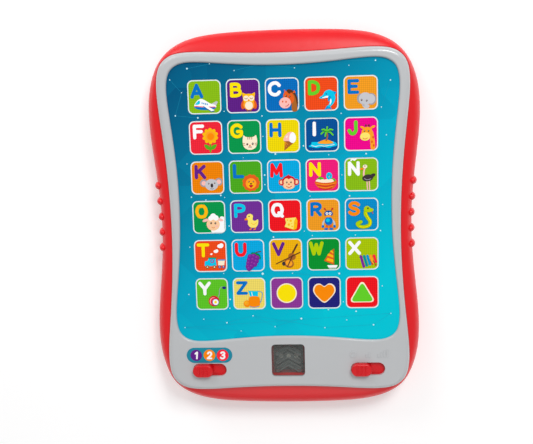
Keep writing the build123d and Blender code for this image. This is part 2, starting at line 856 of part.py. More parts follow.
cone_rim = speaker_radius - speaker_rim - speaker_wall - 2 * slip
cone_low = back_wall + 2 * slip
cone_high = cone_low + cone_lift
with BuildPart() as cone_form:
    with BuildSketch(Plane.XZ):
        with BuildLine():
            Polyline(
                (0, cone_high),
                (cone_cap_radius, cone_high),
                (cone_rim, cone_low),
                (cone_rim, cone_low + cone_thickness),
                (cone_cap_radius, cone_high + cone_thickness),
                (0, cone_high + cone_thickness),
                close=True,
            )
        make_face()
    revolve(axis=Axis.Z)
with BuildPart() as speaker_cone:
    with Locations((0, speaker_middle_y)):
        add(cone_form.part)
save(speaker_cone.part, "speaker_cone")

with BuildPart() as speaker_magnet:
    with Locations((0, speaker_middle_y, speaker_back)):
        Cylinder(magnet_radius, magnet_height, align=up)
    fillet(speaker_magnet.faces().sort_by(Axis.Z)[-1].edges(), magnet_height / 6)
save(speaker_magnet.part, "speaker_magnet")

clamp_inside = speaker_radius - speaker_rim
with BuildPart() as speaker_clamp:
    with BuildSketch(Plane.XY.offset(speaker_rim_top)):
        with Locations((0, speaker_middle_y)):
            Circle(speaker_radius + slip + locating_wall)
        with Locations(*speaker_screw_places):
            Circle(clamp_ear_radius)
        with Locations((0, speaker_middle_y)):
            Circle(clamp_inside, mode=Mode.SUBTRACT)
        with Locations(*speaker_screw_places):
            Circle(small_screw_radius + shank_gap, mode=Mode.SUBTRACT)
    extrude(amount=clamp_thickness)
save(speaker_clamp.part, "speaker_clamp")

# ---------------------------------------------------------------- light window
lens_side = window_side - 2 * slip
lens_corner = window_corner - slip
with BuildPart() as window_lens:
    with BuildSketch(Plane.XY.offset(lens_seat)):
        with Locations((0, window_middle_y)):
            flange_side = window_side + 2 * lens_flange
            RectangleRounded(flange_side, flange_side, window_corner)
    extrude(amount=lens_flange_thickness)
    with BuildSketch(Plane.XY.offset(bezel_skin)):
        with Locations((0, window_middle_y)):
            RectangleRounded(lens_side, lens_side, lens_corner)
    extrude(amount=bezel_wall - lens_sink)
save(window_lens.part, "window_lens")

with BuildPart() as light_guide:
    with BuildSketch(Plane.XY.offset(guide_seat)):
        with Locations((0, window_middle_y)):
            Rectangle(lens_side, lens_side)
    extrude(amount=guide_base)
    with BuildSketch(Plane.XY.offset(guide_seat + guide_base)):
        for row in range(chevron_count):
            peak = window_middle_y + chevron_peak - row * chevron_pitch
            with BuildLine():
                Polyline(
                    (-chevron_half, peak - chevron_rise),
                    (0, peak),
                    (chevron_half, peak - chevron_rise),
                    (chevron_half, peak - chevron_rise - chevron_width),
                    (0, peak - chevron_width),
                    (-chevron_half, peak - chevron_rise - chevron_width),
                    close=True,
                )
            make_face()
        fillet(vertices(), chevron_round)
    extrude(amount=chevron_height)
save(light_guide.part, "light_guide")

with BuildPart() as led_board:
    with BuildSketch(Plane.XY.offset(well_bottom)):
        with Locations((0, window_middle_y)):
            Rectangle(2 * led_board_half_x, 2 * led_board_half_y)
        with Locations(*[(side * led_screw_x, window_middle_y) for side in (-1, 1)]):
            Circle(small_screw_radius + shank_gap, mode=Mode.SUBTRACT)
    extrude(amount=-board_thickness)
save(led_board.part, "led_board")

with BuildPart() as indicator_leds:
    for led in range(led_count):
        led_x = (led - (led_count - 1) / 2) * led_pitch
        with Locations((led_x, window_middle_y, well_bottom)):
            Cylinder(led_radius, led_height, align=up)
    fillet(indicator_leds.faces().filter_by(Plane.XY).group_by(Axis.Z)[-1].edges(), led_height / 2)
save(indicator_leds.part, "indicator_leds")

# ---------------------------------------------------------------- label, knobs and switches
with BuildPart() as mode_label:
    with BuildSketch(Plane.XY.offset(bezel_top)):
        with Locations((label_middle_x, label_middle_y)):
            SlotOverall(label_length, label_width)
    extrude(amount=label_thickness)
save(mode_label.part, "mode_label")

post_room = (knob_travel + post_length + 2 * moving_gap, post_width + 2 * moving_gap)
for slot_name, slot_x in slot_places.items():
    knob_x = slot_x + knob_offset
    with BuildPart() as knob:
        with BuildSketch(Plane.XY.offset(flange_top)):
            with Locations((knob_x, slot_middle_y)):
                SlotOverall(knob_length, knob_width)
        extrude(amount=bezel_top + knob_proud - flange_top)
        fillet(knob.faces().sort_by(Axis.Z)[-1].edges(), knob_edge)
        for rib in range(knob_rib_count):
            rib_x = knob_x + (rib - (knob_rib_count - 1) / 2) * knob_rib_pitch
            with Locations((rib_x, slot_middle_y, bezel_top + knob_proud)):
                Box(knob_rib_width, knob_rib_length, 2 * knob_rib_height)
        rib_tops = knob.faces().filter_by(Plane.XY).group_by(Axis.Z)[-1]
        fillet(rib_tops.edges().filter_by(Axis.Y), knob_rib_width / 3)
        with BuildSketch(Plane.XY.offset(flange_bottom)):
            with Locations((knob_x, slot_middle_y)):
                flange_length = slot_length + knob_travel + 2 * flange_lap
                RectangleRounded(flange_length, flange_width, flange_corner)
        extrude(amount=flange_thickness)
        with Locations((knob_x, slot_middle_y, flange_bottom)):
            post_height = flange_bottom - deck_underside + post_depth
            Box(post_length, post_width, post_height, align=down)
    save(knob.part, f"{slot_name}_knob")
    with BuildPart() as switch:
        with Locations((slot_x, slot_middle_y, deck_underside)):
            Box(switch_length, switch_width, switch_height, align=down)
            Box(*post_room, 2 * (post_depth + moving_gap), mode=Mode.SUBTRACT)
    save(switch.part, f"{slot_name}_switch")

# ---------------------------------------------------------------- battery bay
with BuildPart() as battery_door:
    with BuildSketch(Plane.XY.offset(door_sink)):
        with Locations((0, (hinge_y + bay_high_y - door_gap) / 2)):
            Rectangle(2 * door_half_x, bay_high_y - door_gap - hinge_y)
        with Locations((0, door_screw_y)):
            Circle(tongue_radius)
        with Locations((0, (bay_high_y - door_gap + door_screw_y) / 2)):
            Rectangle(2 * tongue_radius, door_screw_y - bay_high_y + door_gap)
    extrude(amount=door_thickness)
    with Locations(Location((0, hinge_y, hinge_z), (0, 90, 0))):
        Cylinder(hinge_radius, 2 * door_half_x)
    with Locations(*[(x, hinge_y, hinge_z) for x in tab_places]):
        neck = tab_bottom + tab_thickness - hinge_z
        Box(tab_width, tab_neck, neck, align=(Align.CENTER, Align.MIN, Align.MIN))
    with Locations(*[(x, tab_tip_y, tab_bottom) for x in tab_places]):
        reach = hinge_y + tab_neck - tab_tip_y
        Box(tab_width, reach, tab_thickness, align=(Align.CENTER, Align.MIN, Align.MIN))
    with Locations((0, door_screw_y, door_sink)):
        Cylinder(screw_radius + moving_gap / 2, door_thickness, align=up, mode=Mode.SUBTRACT)
        Cylinder(
            screw_head_radius + moving_gap, door_head_height + slip, align=up, mode=Mode.SUBTRACT
        )
save(battery_door.part, "battery_door")

with BuildPart() as battery_door_screw:
    with Locations((0, door_screw_y, door_sink + slip)):
        Cylinder(screw_head_radius, door_head_height - slip, align=up)
        Cylinder(screw_radius, door_screw_length, align=up)
        cross_recess(drive_depth)
save(battery_door_screw.part, "battery_door_screw")

with BuildPart() as battery_cells:
    for index, y in enumerate(cell_ys):
        facing = 1 - 2 * (index % 2)
        nub_tip_x = facing * (bay_half_x - contact_thickness)
        with Locations(Location((nub_tip_x, y, cell_z), (0, -90 * facing, 0))):
            Cylinder(cell_nub_radius, cell_nub_length, align=up)
        can_x = nub_tip_x - facing * cell_nub_length
        with Locations(Location((can_x, y, cell_z), (0, -90 * facing, 0))):
            Cylinder(cell_radius, cell_length - cell_nub_length, align=up)
save(battery_cells.part, "battery_cells")

with BuildPart() as battery_contacts:
    for y in cell_ys:
        for side in (-1, 1):
            with Locations((side * (bay_half_x - contact_thickness / 2), y, cell_z)):
                Box(contact_thickness, contact_side, contact_side)
save(battery_contacts.part, "battery_contacts")

with BuildPart() as battery_springs:
    spring_room = 2 * bay_half_x - 2 * contact_thickness - cell_length
    spring_rise = spring_room - 2 * spring_wire - 2 * spring_end_gap
    for index, y in enumerate(cell_ys):
        facing = 1 - 2 * (index % 2)
        start_x = -facing * (bay_half_x - contact_thickness - spring_wire - spring_end_gap)
        with BuildLine() as coil:
            Helix(
                pitch=spring_rise / spring_turns,
                height=spring_rise,
                radius=spring_radius,
                center=(start_x, y, cell_z),
                direction=(facing, 0, 0),
            )
        with BuildSketch(coil.line ^ 0):
            Circle(spring_wire)
        sweep(path=coil.line, is_frenet=True)
save(battery_springs.part, "battery_springs")

# ---------------------------------------------------------------- fasteners
with BuildPart() as housing_screws:
    with Locations(*[(x, y, well_depth) for x, y in housing_screw_places]):
        Cylinder(screw_head_radius, screw_head_height, align=down)
        Cylinder(screw_radius, deck_underside - well_depth - screw_tip_gap, align=up)
    with Locations(*[(x, y, well_depth - screw_head_height) for x, y in housing_screw_places]):
        cross_recess(drive_depth)
save(housing_screws.part, "housing_screws")

# Small screws: where the head bears, how far the shank goes, and which way it points
small_screws = [
    (speaker_screw_places, speaker_rim_top + clamp_thickness, back_wall / 2 + slip),
    (main_screw_places, main_board_top, back_wall + slip),
    (board_screw_places, board_underside, board_underside + board_screw_length),
    (
        [(side * led_screw_x, window_middle_y) for side in (-1, 1)],
        well_bottom - board_thickness,
        deck_underside,
    ),
    (
        [(side * bezel_screw_x, window_middle_y) for side in (-1, 1)],
        deck_underside,
        bezel_skin - slip,
    ),
]
with BuildPart() as inner_screws:
    for places, seat, tip in small_screws:
        turned = 0 if tip > seat else 180
        spots = [Location((x, y, seat), (turned, 0, 0)) for x, y in places]
        with Locations(*spots):
            Cylinder(small_head_radius, small_head_height, align=down)
            Cylinder(small_screw_radius, abs(tip - seat), align=up)
save(inner_screws.part, "inner_screws")
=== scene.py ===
"""Looks of the kids toy tablet: finishes, printed keys, film art, light and camera.

Metres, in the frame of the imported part: +Z out of the screen, +Y to the top edge.
Drawings on the keys are written in millimetres from the middle of their key.
"""

import json
import logging
import math
from dataclasses import dataclass, field
from enum import Enum

import bmesh
import bpy
from mathutils import Matrix, Vector

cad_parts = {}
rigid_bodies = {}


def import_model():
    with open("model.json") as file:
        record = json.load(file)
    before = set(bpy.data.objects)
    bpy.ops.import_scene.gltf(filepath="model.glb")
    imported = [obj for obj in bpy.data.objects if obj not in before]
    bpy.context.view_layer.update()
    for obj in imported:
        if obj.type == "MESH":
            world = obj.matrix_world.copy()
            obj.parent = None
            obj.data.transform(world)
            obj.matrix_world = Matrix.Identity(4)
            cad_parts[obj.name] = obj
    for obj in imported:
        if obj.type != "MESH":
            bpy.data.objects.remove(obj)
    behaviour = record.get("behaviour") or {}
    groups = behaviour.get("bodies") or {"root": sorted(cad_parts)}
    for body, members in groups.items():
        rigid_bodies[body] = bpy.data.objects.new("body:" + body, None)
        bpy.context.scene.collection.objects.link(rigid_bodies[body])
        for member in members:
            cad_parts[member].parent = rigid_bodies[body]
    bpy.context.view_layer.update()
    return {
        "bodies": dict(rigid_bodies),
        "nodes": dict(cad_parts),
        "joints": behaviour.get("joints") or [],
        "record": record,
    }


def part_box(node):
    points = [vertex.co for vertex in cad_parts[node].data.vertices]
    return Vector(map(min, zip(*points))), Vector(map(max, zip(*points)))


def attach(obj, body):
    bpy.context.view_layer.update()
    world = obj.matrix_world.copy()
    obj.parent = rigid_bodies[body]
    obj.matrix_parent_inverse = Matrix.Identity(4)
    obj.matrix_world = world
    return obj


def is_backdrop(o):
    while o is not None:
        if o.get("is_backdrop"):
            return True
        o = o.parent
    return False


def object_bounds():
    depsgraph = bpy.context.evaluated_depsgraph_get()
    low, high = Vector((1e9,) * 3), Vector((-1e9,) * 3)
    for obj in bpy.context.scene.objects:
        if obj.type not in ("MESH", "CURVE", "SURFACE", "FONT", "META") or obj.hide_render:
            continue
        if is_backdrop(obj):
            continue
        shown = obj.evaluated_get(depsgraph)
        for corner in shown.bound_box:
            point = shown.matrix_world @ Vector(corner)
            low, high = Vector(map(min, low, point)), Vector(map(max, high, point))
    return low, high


LOG = logging.getLogger("toy_tablet")
MM = 0.001
INK_STEP = 0.004 * MM  # between one mark and the next over it
SPECK = 0.0001 * MM  # shorter edges than this are closed up
INK_LAYER = "Ink"
HATCH_LAYER = "Hatch"
Point = tuple[float, float]
Colour = tuple[float, float, float]
Place = tuple[float, float, float]


def linear(code: str) -> Colour:
    """Turn a six-digit screen colour into scene light.

    Args:
        code: Red, green and blue as two hexadecimal digits each.

    Returns:
        The three linear values.
    """
    shares = (int(code[place : place + 2], 16) / 255 for place in (0, 2, 4))
    red, green, blue = (
        share / 12.92 if share <= 0.04045 else ((share + 0.055) / 1.055) ** 2.4 for share in shares
    )
    return red, green, blue


class Ink(Enum):
    """Printing inks of the keys, the film and the label."""

    WHITE = "FFFFFF"
    CREAM = "FFEFD2"
    PEACH = "FFCFA0"
    PINK = "FFC0B8"
    ROSE = "FF1E82"
    MAGENTA = "FF0096"
    RED = "FF1420"
    CRIMSON = "D01828"
    SCARLET = "FF5019"
    TOMATO = "FF283C"
    RUST = "E8601E"
    ORANGE = "FF8C00"
    AMBER = "FFA523"
    GOLD = "FFBE0A"
    YELLOW = "FFE600"
    LEMON = "FFE86E"
    LIME = "91C814"
    CHARTREUSE = "B4D200"
    SPRING = "64D228"
    GRASS = "50B41E"
    GREEN = "009B32"
    EMERALD = "00A050"
    JADE = "00873C"
    TEAL = "009696"
    CYAN = "00C8EB"
    SKY = "00B4F0"
    AZURE = "0096D7"
    BLUE = "0073C8"
    COBALT = "0055A0"
    NAVY = "232380"
    VIOLET = "64208C"
    PURPLE = "7832A0"
    ORCHID = "963CA0"
    GRAPE = "82289B"
    BROWN = "AA6428"
    UMBER = "5A321E"
    COAL = "3C3236"
    SILVER = "C8C8CD"
    ASH = "A0A0A8"
    STAR = "C8F5FF"
    THREAD = "1E9CBE"


@dataclass(frozen=True)
class Wire:
    """A shader value that can be used in sums."""

    recipe: "Recipe"
    socket: bpy.types.NodeSocket

    def __add__(self, other: "Wire | float") -> "Wire":
        """Add."""
        return self.recipe.maths("ADD", self, other)

    def __sub__(self, other: "Wire | float") -> "Wire":
        """Take away."""
        return self.recipe.maths("SUBTRACT", self, other)

    def __rsub__(self, other: float) -> "Wire":
        """Take this from a number."""
        return self.recipe.maths("SUBTRACT", other, self)

    def __mul__(self, other: "Wire | float") -> "Wire":
        """Multiply."""
        return self.recipe.maths("MULTIPLY", self, other)

    def __gt__(self, other: "Wire | float") -> "Wire":
        """One where this is the larger."""
        return self.recipe.maths("GREATER_THAN", self, other)

    __radd__ = __add__
    __rmul__ = __mul__


class Recipe:
    """The nodes of one material around its main shader."""

    def __init__(self, name: str) -> None:
        """Start an empty material with its shader and output.

        Args:
            name: The material's name.
        """
        self.material = bpy.data.materials.new(name)
        self.material.use_nodes = True
        self.tree = self.material.node_tree
        self.tree.nodes.clear()
        self.shader = self.node("ShaderNodeBsdfPrincipled")
        self.node("ShaderNodeOutputMaterial", inputs={"Surface": self.shader.outputs[0]})

    def node(
        self, kind: str, settings: dict | None = None, inputs: dict | None = None
    ) -> bpy.types.Node:
        """Make a node, set it, then fill its sockets.

        Args:
            kind: The node's type.
            settings: Properties; "stops" holds a ramp's places and colours.
            inputs: Values or links by socket name or number.

        Returns:
            The new node.
        """
        made = self.tree.nodes.new(kind)
        for key, value in (settings or {}).items():
            if key == "stops":
                elements = made.color_ramp.elements
                while len(elements) < len(value):
                    elements.new(1.0)
                for element, (place, colour) in zip(elements, value):
                    element.position = place
                    element.color = (*colour, 1.0)
            else:
                setattr(made, key, value)
        for key, value in (inputs or {}).items():
            self.feed(made.inputs[key], value)
        return made

    def feed(self, socket: bpy.types.NodeSocket, value: object) -> None:
        """Link a socket or set its number.

        Args:
            socket: The socket to fill.
            value: A Wire, another socket, a number or a row of numbers.
        """
        if isinstance(value, Wire):
            value = value.socket
        if isinstance(value, bpy.types.NodeSocket):
            self.tree.links.new(value, socket)
        elif isinstance(value, tuple) and socket.type == "RGBA":
            socket.default_value = (*value, 1.0)
        else:
            socket.default_value = value

    def maths(self, operation: str, first: object, second: object = 0.0) -> Wire:
        """Work out one sum on values.

        Args:
            operation: The sum's name.
            first: The first value.
            second: The second value.

        Returns:
            The result.
        """
        made = self.node("ShaderNodeMath", {"operation": operation}, {0: first, 1: second})
        return Wire(self, made.outputs[0])

    def place(self) -> bpy.types.NodeSocket:
        """The point on the object, in metres."""
        return self.node("ShaderNodeTexCoord").outputs["Object"]

    def axes(self) -> tuple[Wire, Wire, Wire]:
        """The point's three distances from the origin."""
        split = self.node("ShaderNodeSeparateXYZ", inputs={0: self.place()})
        return tuple(Wire(self, out) for out in split.outputs)

    def cloud(self, size: float, detail: float = 2.0) -> Wire:
        """Smooth noise between zero and one.

        Args:
            size: The rough size of a lump, in metres.
            detail: How many finer layers it has.

        Returns:
            The noise.
        """
        noise = self.node(
            "ShaderNodeTexNoise",
            inputs={"Vector": self.place(), "Scale": 1 / size, "Detail": detail},
        )
        return Wire(self, noise.outputs[0])

    def between(self, share: Wire, low: object, high: object) -> bpy.types.NodeSocket:
        """Mix two colours.

        Args:
            share: How much of the second.
            low: The colour at zero.
            high: The colour at one.

        Returns:
            The mixed colour.
        """
        mix = self.node("ShaderNodeMix", {"data_type": "RGBA"}, {0: share, 6: low, 7: high})
        return mix.outputs[2]

    def bump(self, height: Wire, depth: float) -> None:
        """Give the shader a fine relief.

        Args:
            height: The relief, between zero and one.
            depth: Its height in metres.
        """
        relief = self.node(
            "ShaderNodeBump", inputs={"Height": height, "Distance": depth, "Strength": 1.0}
        )
        self.set(Normal=relief.outputs[0])

    def set(self, **sockets: object) -> None:
        """Fill the main shader's sockets, with spaces written as underscores."""
        for key, value in sockets.items():
            self.feed(self.shader.inputs[key.replace("_", " ")], value)


@dataclass(frozen=True)
class MouldedPlastic:
    """Opaque moulded plastic with a fine grain and slightly uneven gloss."""

    name: str
    colour: str
    shade: str
    roughness: float
    grain: float = 0.35 * MM
    grain_depth: float = 0.004 * MM
    flow: float = 18 * MM
    uneven_gloss: float = 0.08
    coat: float = 0.0
    coat_roughness: float = 0.1

    def material(self) -> bpy.types.Material:
        """Make the material.

        Returns:
            The finished material.
        """
        recipe = Recipe(self.name)
        tint = recipe.between(recipe.cloud(self.flow), linear(self.colour), linear(self.shade))
        fine = recipe.cloud(self.grain, 3.0)
        recipe.set(
            Base_Color=tint,
            Roughness=fine * self.uneven_gloss + (self.roughness - self.uneven_gloss / 2),
            Coat_Weight=self.coat,
            Coat_Roughness=self.coat_roughness,
        )
        recipe.bump(fine, self.grain_depth)
        return recipe.material


@dataclass(frozen=True)
class ClearPlastic:
    """See-through moulded plastic that looks fuller where it is seen edge-on."""

    name: str
    colour: str
    roughness: float
    body: float
    rim: float = 0.0
    cloudiness: float = 0.1
    cloud_size: float = 3 * MM
    uneven_gloss: float = 0.05
    gloss_size: float = 2 * MM

    def material(self) -> bpy.types.Material:
        """Make the material.

        Returns:
            The finished material.
        """
        recipe = Recipe(self.name)
        slant = recipe.node("ShaderNodeLayerWeight", inputs={"Blend": 0.5})
        edge = Wire(recipe, slant.outputs["Facing"]) * self.rim
        recipe.set(
            Base_Color=linear(self.colour),
            Roughness=recipe.cloud(self.gloss_size) * self.uneven_gloss + self.roughness,
            Alpha=recipe.cloud(self.cloud_size) * self.cloudiness
            + edge
            + (self.body - self.cloudiness / 2),
        )
        return recipe.material


@dataclass(frozen=True)
class Metal:
    """Plated or rolled metal with fine scratches."""

    name: str
    colour: str
    roughness: float
    streak: float = 0.4 * MM
    streak_depth: float = 0.003 * MM
    uneven_gloss: float = 0.15
    polish: float = 0.07

    def material(self) -> bpy.types.Material:
        """Make the material.

        Returns:
            The finished material.
        """
        recipe = Recipe(self.name)
        streaks = recipe.cloud(self.streak, 4.0)
        recipe.set(
            Base_Color=linear(self.colour),
            Metallic=1.0,
            Roughness=streaks * self.uneven_gloss + (self.roughness - self.polish),
        )
        recipe.bump(streaks, self.streak_depth)
        return recipe.material


@dataclass(frozen=True)
class CircuitBoard:
    """Lacquered board with copper tracks showing through."""

    name: str
    lacquer: str
    track: str
    roughness: float = 0.35
    pitch: float = 2.6 * MM
    track_width: float = 0.09  # as a share of the pitch
    track_height: float = 0.03 * MM
    bare_size: float = 9 * MM

    def material(self) -> bpy.types.Material:
        """Make the material.

        Returns:
            The finished material.
        """
        recipe = Recipe(self.name)
        grid = recipe.node(
            "ShaderNodeTexBrick",
            inputs={
                "Vector": recipe.place(),
                "Scale": 1 / self.pitch,
                "Mortar Size": self.track_width,
                "Color1": (0.0, 0.0, 0.0),
                "Color2": (0.0, 0.0, 0.0),
                "Mortar": (1.0, 1.0, 1.0),
            },
        )
        broken = recipe.cloud(self.bare_size) > 0.5
        tracks = Wire(recipe, grid.outputs["Fac"]) * broken
        recipe.set(
            Base_Color=recipe.between(tracks, linear(self.lacquer), linear(self.track)),
            Roughness=self.roughness,
        )
        recipe.bump(tracks, self.track_height)
        return recipe.material


@dataclass(frozen=True)
class PrintedFilm:
    """Glossy film with a night-to-lagoon wash and faint facets."""

    name: str = "printed_film"
    dark: str = "005880"
    deep: str = "007EA2"
    mid: str = "00A8C8"
    light: str = "00C8DA"
    wash_right: float = 3.6  # how fast the wash lightens, per metre
    wash_down: float = 3.9
    wash_middle: float = 0.62
    facet: float = 34 * MM
    facet_tone: float = 0.12
    wave_size: float = 14 * MM
    wave_height: float = 0.02 * MM
    uneven_gloss: float = 0.05
    roughness: float = 0.14
    gloss: float = 0.1

    def material(self) -> bpy.types.Material:
        """Make the material.

        Returns:
            The finished material.
        """
        recipe = Recipe(self.name)
        x, y, _ = recipe.axes()
        fall = x * self.wash_right + y * -self.wash_down + self.wash_middle
        facets = recipe.node(
            "ShaderNodeTexVoronoi",
            {"distance": "MANHATTAN"},
            {"Vector": recipe.place(), "Scale": 1 / self.facet, "Randomness": 1.0},
        )
        tone = recipe.node("ShaderNodeSeparateXYZ", inputs={0: facets.outputs["Color"]})
        shift = Wire(recipe, tone.outputs[0]) * self.facet_tone - self.facet_tone / 2
        wash = recipe.node(
            "ShaderNodeValToRGB",
            {
                "stops": (
                    (0.0, linear(self.dark)),
                    (0.3, linear(self.deep)),
                    (0.62, linear(self.mid)),
                    (0.95, linear(self.light)),
                )
            },
            {0: fall + shift},
        )
        wave = recipe.cloud(self.wave_size, 1.0)
        recipe.set(
            Base_Color=wash.outputs[0],
            Roughness=wave * self.uneven_gloss + self.roughness,
            Specular_IOR_Level=self.gloss,
        )
        recipe.bump(wave, self.wave_height)
        return recipe.material


@dataclass(frozen=True)
class KeyInk:
    """Printed inks under the film's gloss, with a halftone in the plain fields."""

    name: str = "key_ink"
    pitch: float = 2.4 * MM
    strength: float = 0.25
    wave_size: float = 9 * MM
    wave_height: float = 0.01 * MM
    uneven_gloss: float = 0.05
    roughness: float = 0.16
    gloss: float = 0.12

    def material(self) -> bpy.types.Material:
        """Make the material.

        Returns:
            The finished material.
        """
        recipe = Recipe(self.name)
        ink = recipe.node("ShaderNodeAttribute", {"attribute_name": INK_LAYER})
        hatch = recipe.node("ShaderNodeAttribute", {"attribute_name": HATCH_LAYER})
        x, y, _ = recipe.axes()
        turns = 2 * math.pi / self.pitch
        rows = recipe.maths("SINE", (x + y) * turns) * recipe.maths("SINE", (x - y) * turns)
        dots = (rows * 0.5 + 0.5) * Wire(recipe, hatch.outputs["Fac"]) * self.strength
        shaded = recipe.between(dots, ink.outputs["Color"], (0.0, 0.0, 0.0))
        wave = recipe.cloud(self.wave_size, 1.0)
        recipe.set(
            Base_Color=shaded,
            Roughness=wave * self.uneven_gloss + self.roughness,
            Specular_IOR_Level=self.gloss,
        )
        recipe.bump(wave, self.wave_height)
        return recipe.material


def curve_through(points: list[Point], closed: bool, steps: int = 5) -> list[Vector]:
    """Round a row of points into a smooth line through all of them.

    Args:
        points: The points, in order.
        closed: Whether the line joins up.
        steps: How many parts each span is cut into.

    Returns:
        The smooth line's points.
    """
    knots = [Vector(point) for point in points]
    count = len(knots)
    spans = count if closed else count - 1
    line = []
    for span in range(spans):
        before, start, end, after = (
            knots[(span + shift) % count]
            if closed
            else knots[min(max(span + shift, 0), count - 1)]
            for shift in (-1, 0, 1, 2)
        )
        for step in range(steps):
            t = step / steps
            line.append(
                0.5
                * (
                    2 * start
                    + (end - before) * t
                    + (2 * before - 5 * start + 4 * end - after) * t**2
                    + (3 * start - before - 3 * end + after) * t**3
                )
            )
    if not closed:
        line.append(knots[-1])
    return line


class Artwork:
    """Flat inks on one face, each drawn a hair above the last."""

    OVAL_SIDES = 28
    LINE_END_SIDES = 16
    CORNER_SIDES = 6
    AHEAD = 1e-6  # a disc's points this far along the line go to its far end

    def __init__(self, middle: Vector) -> None:
        """Start a blank print.

        Args:
            middle: The middle of the printed face, in metres.
        """
        self.middle = middle
        self.layers = 0
        self.mesh = bmesh.new()
        self.ink = self.mesh.loops.layers.float_color.new(INK_LAYER)
        self.hatch = self.mesh.loops.layers.float.new(HATCH_LAYER)

    def lay(self, verts: list, ink: Ink, hatch: float = 0.0) -> None:
        """Put a flat shape in its place and colour it.

        Args:
            verts: The shape's vertices, in millimetres about the middle.
            ink: Its ink.
            hatch: How much halftone it has.
        """
        self.layers += 1
        lift = Vector((0, 0, self.layers * INK_STEP))
        bmesh.ops.transform(
            self.mesh,
            matrix=Matrix.Translation(self.middle + lift) @ Matrix.Scale(MM, 4),
            verts=verts,
        )
        for face in {face for vert in verts for face in vert.link_faces}:
            for loop in face.loops:
                loop[self.ink] = (*linear(ink.value), 1.0)
                loop[self.hatch] = hatch

    def oval(
        self,
        ink: Ink,
        x: float,
        y: float,
        across: float,
        along: float | None = None,
        turn: float = 0.0,
    ) -> None:
        """Draw an oval.

        Args:
            ink: Its ink.
            x: Its middle to the right.
            y: Its middle upwards.
            across: Half its width.
            along: Half its height, the same as its width if left out.
            turn: Its tilt to the left, in degrees.
        """
        spot = (
            Matrix.Translation((x, y, 0))
            @ Matrix.Rotation(math.radians(turn), 4, "Z")
            @ Matrix.Diagonal((across, along or across, 1, 1))
        )
        disc = bmesh.ops.create_circle(
            self.mesh, cap_ends=True, segments=self.OVAL_SIDES, radius=1.0, matrix=spot
        )
        self.lay(disc["verts"], ink)

    def patch(
        self,
        ink: Ink,
        points: list[Point],
        soft: bool = True,
        corner: float = 0.0,
        hatch: float = 0.0,
    ) -> None:
        """Draw a filled outline.

        Args:
            ink: Its ink.
            points: The outline, anticlockwise.
            soft: Whether the outline is a smooth curve.
            corner: How far straight corners are rounded.
            hatch: How much halftone it has.
        """
        line = curve_through(points, closed=True) if soft else [Vector(point) for point in points]
        verts = [self.mesh.verts.new((point.x, point.y, 0)) for point in line]
        face = self.mesh.faces.new(verts)
        face.normal_update()
        if face.normal.z < 0:
            face.normal_flip()
        if corner:
            cut = bmesh.ops.bevel(
                self.mesh,
                geom=verts,
                offset=corner,
                affect="VERTICES",
                segments=self.CORNER_SIDES,
                profile=0.5,
                material=-1,
            )
            verts = cut["verts"]
        self.lay(verts, ink, hatch=hatch)

    def line(self, ink: Ink, width: float, points: list[Point], soft: bool = True) -> None:
        """Draw a line with round ends and joins.

        Args:
            ink: Its ink.
            width: Its width.
            points: The points that it passes.
            soft: Whether it is a smooth curve.
        """
        path = curve_through(points, closed=False) if soft else [Vector(point) for point in points]
        for start, end in zip(path, path[1:]):
            reach = end - start
            disc = bmesh.ops.create_circle(
                self.mesh,
                cap_ends=True,
                segments=self.LINE_END_SIDES,
                radius=width / 2,
                matrix=Matrix.Translation((start.x, start.y, 0)),
            )
            ahead = [
                vert
                for vert in disc["verts"]
                if (vert.co.xy - start).dot(reach) > self.AHEAD
            ]
            bmesh.ops.translate(self.mesh, vec=(reach.x, reach.y, 0), verts=ahead)
            self.lay(disc["verts"], ink)

    def piece(
        self, name: str, body: str, finish: bpy.types.Material
    ) -> bpy.types.Object:
        """Finish the print as an object on its body.

        Args:
            name: The object's name.
            body: The body that it moves with.
            finish: Its material.

        Returns:
            The finished object.
        """
        data = bpy.data.meshes.new(name)
        bmesh.ops.dissolve_degenerate(self.mesh, dist=SPECK, edges=self.mesh.edges)
        self.mesh.to_mesh(data)
        self.mesh.free()
        data.materials.append(finish)
        thing = bpy.data.objects.new(name, data)
        bpy.context.scene.collection.objects.link(thing)
        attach(thing, body)
        LOG.info("%s: %d faces on %s", name, len(data.polygons), body)
        return thing


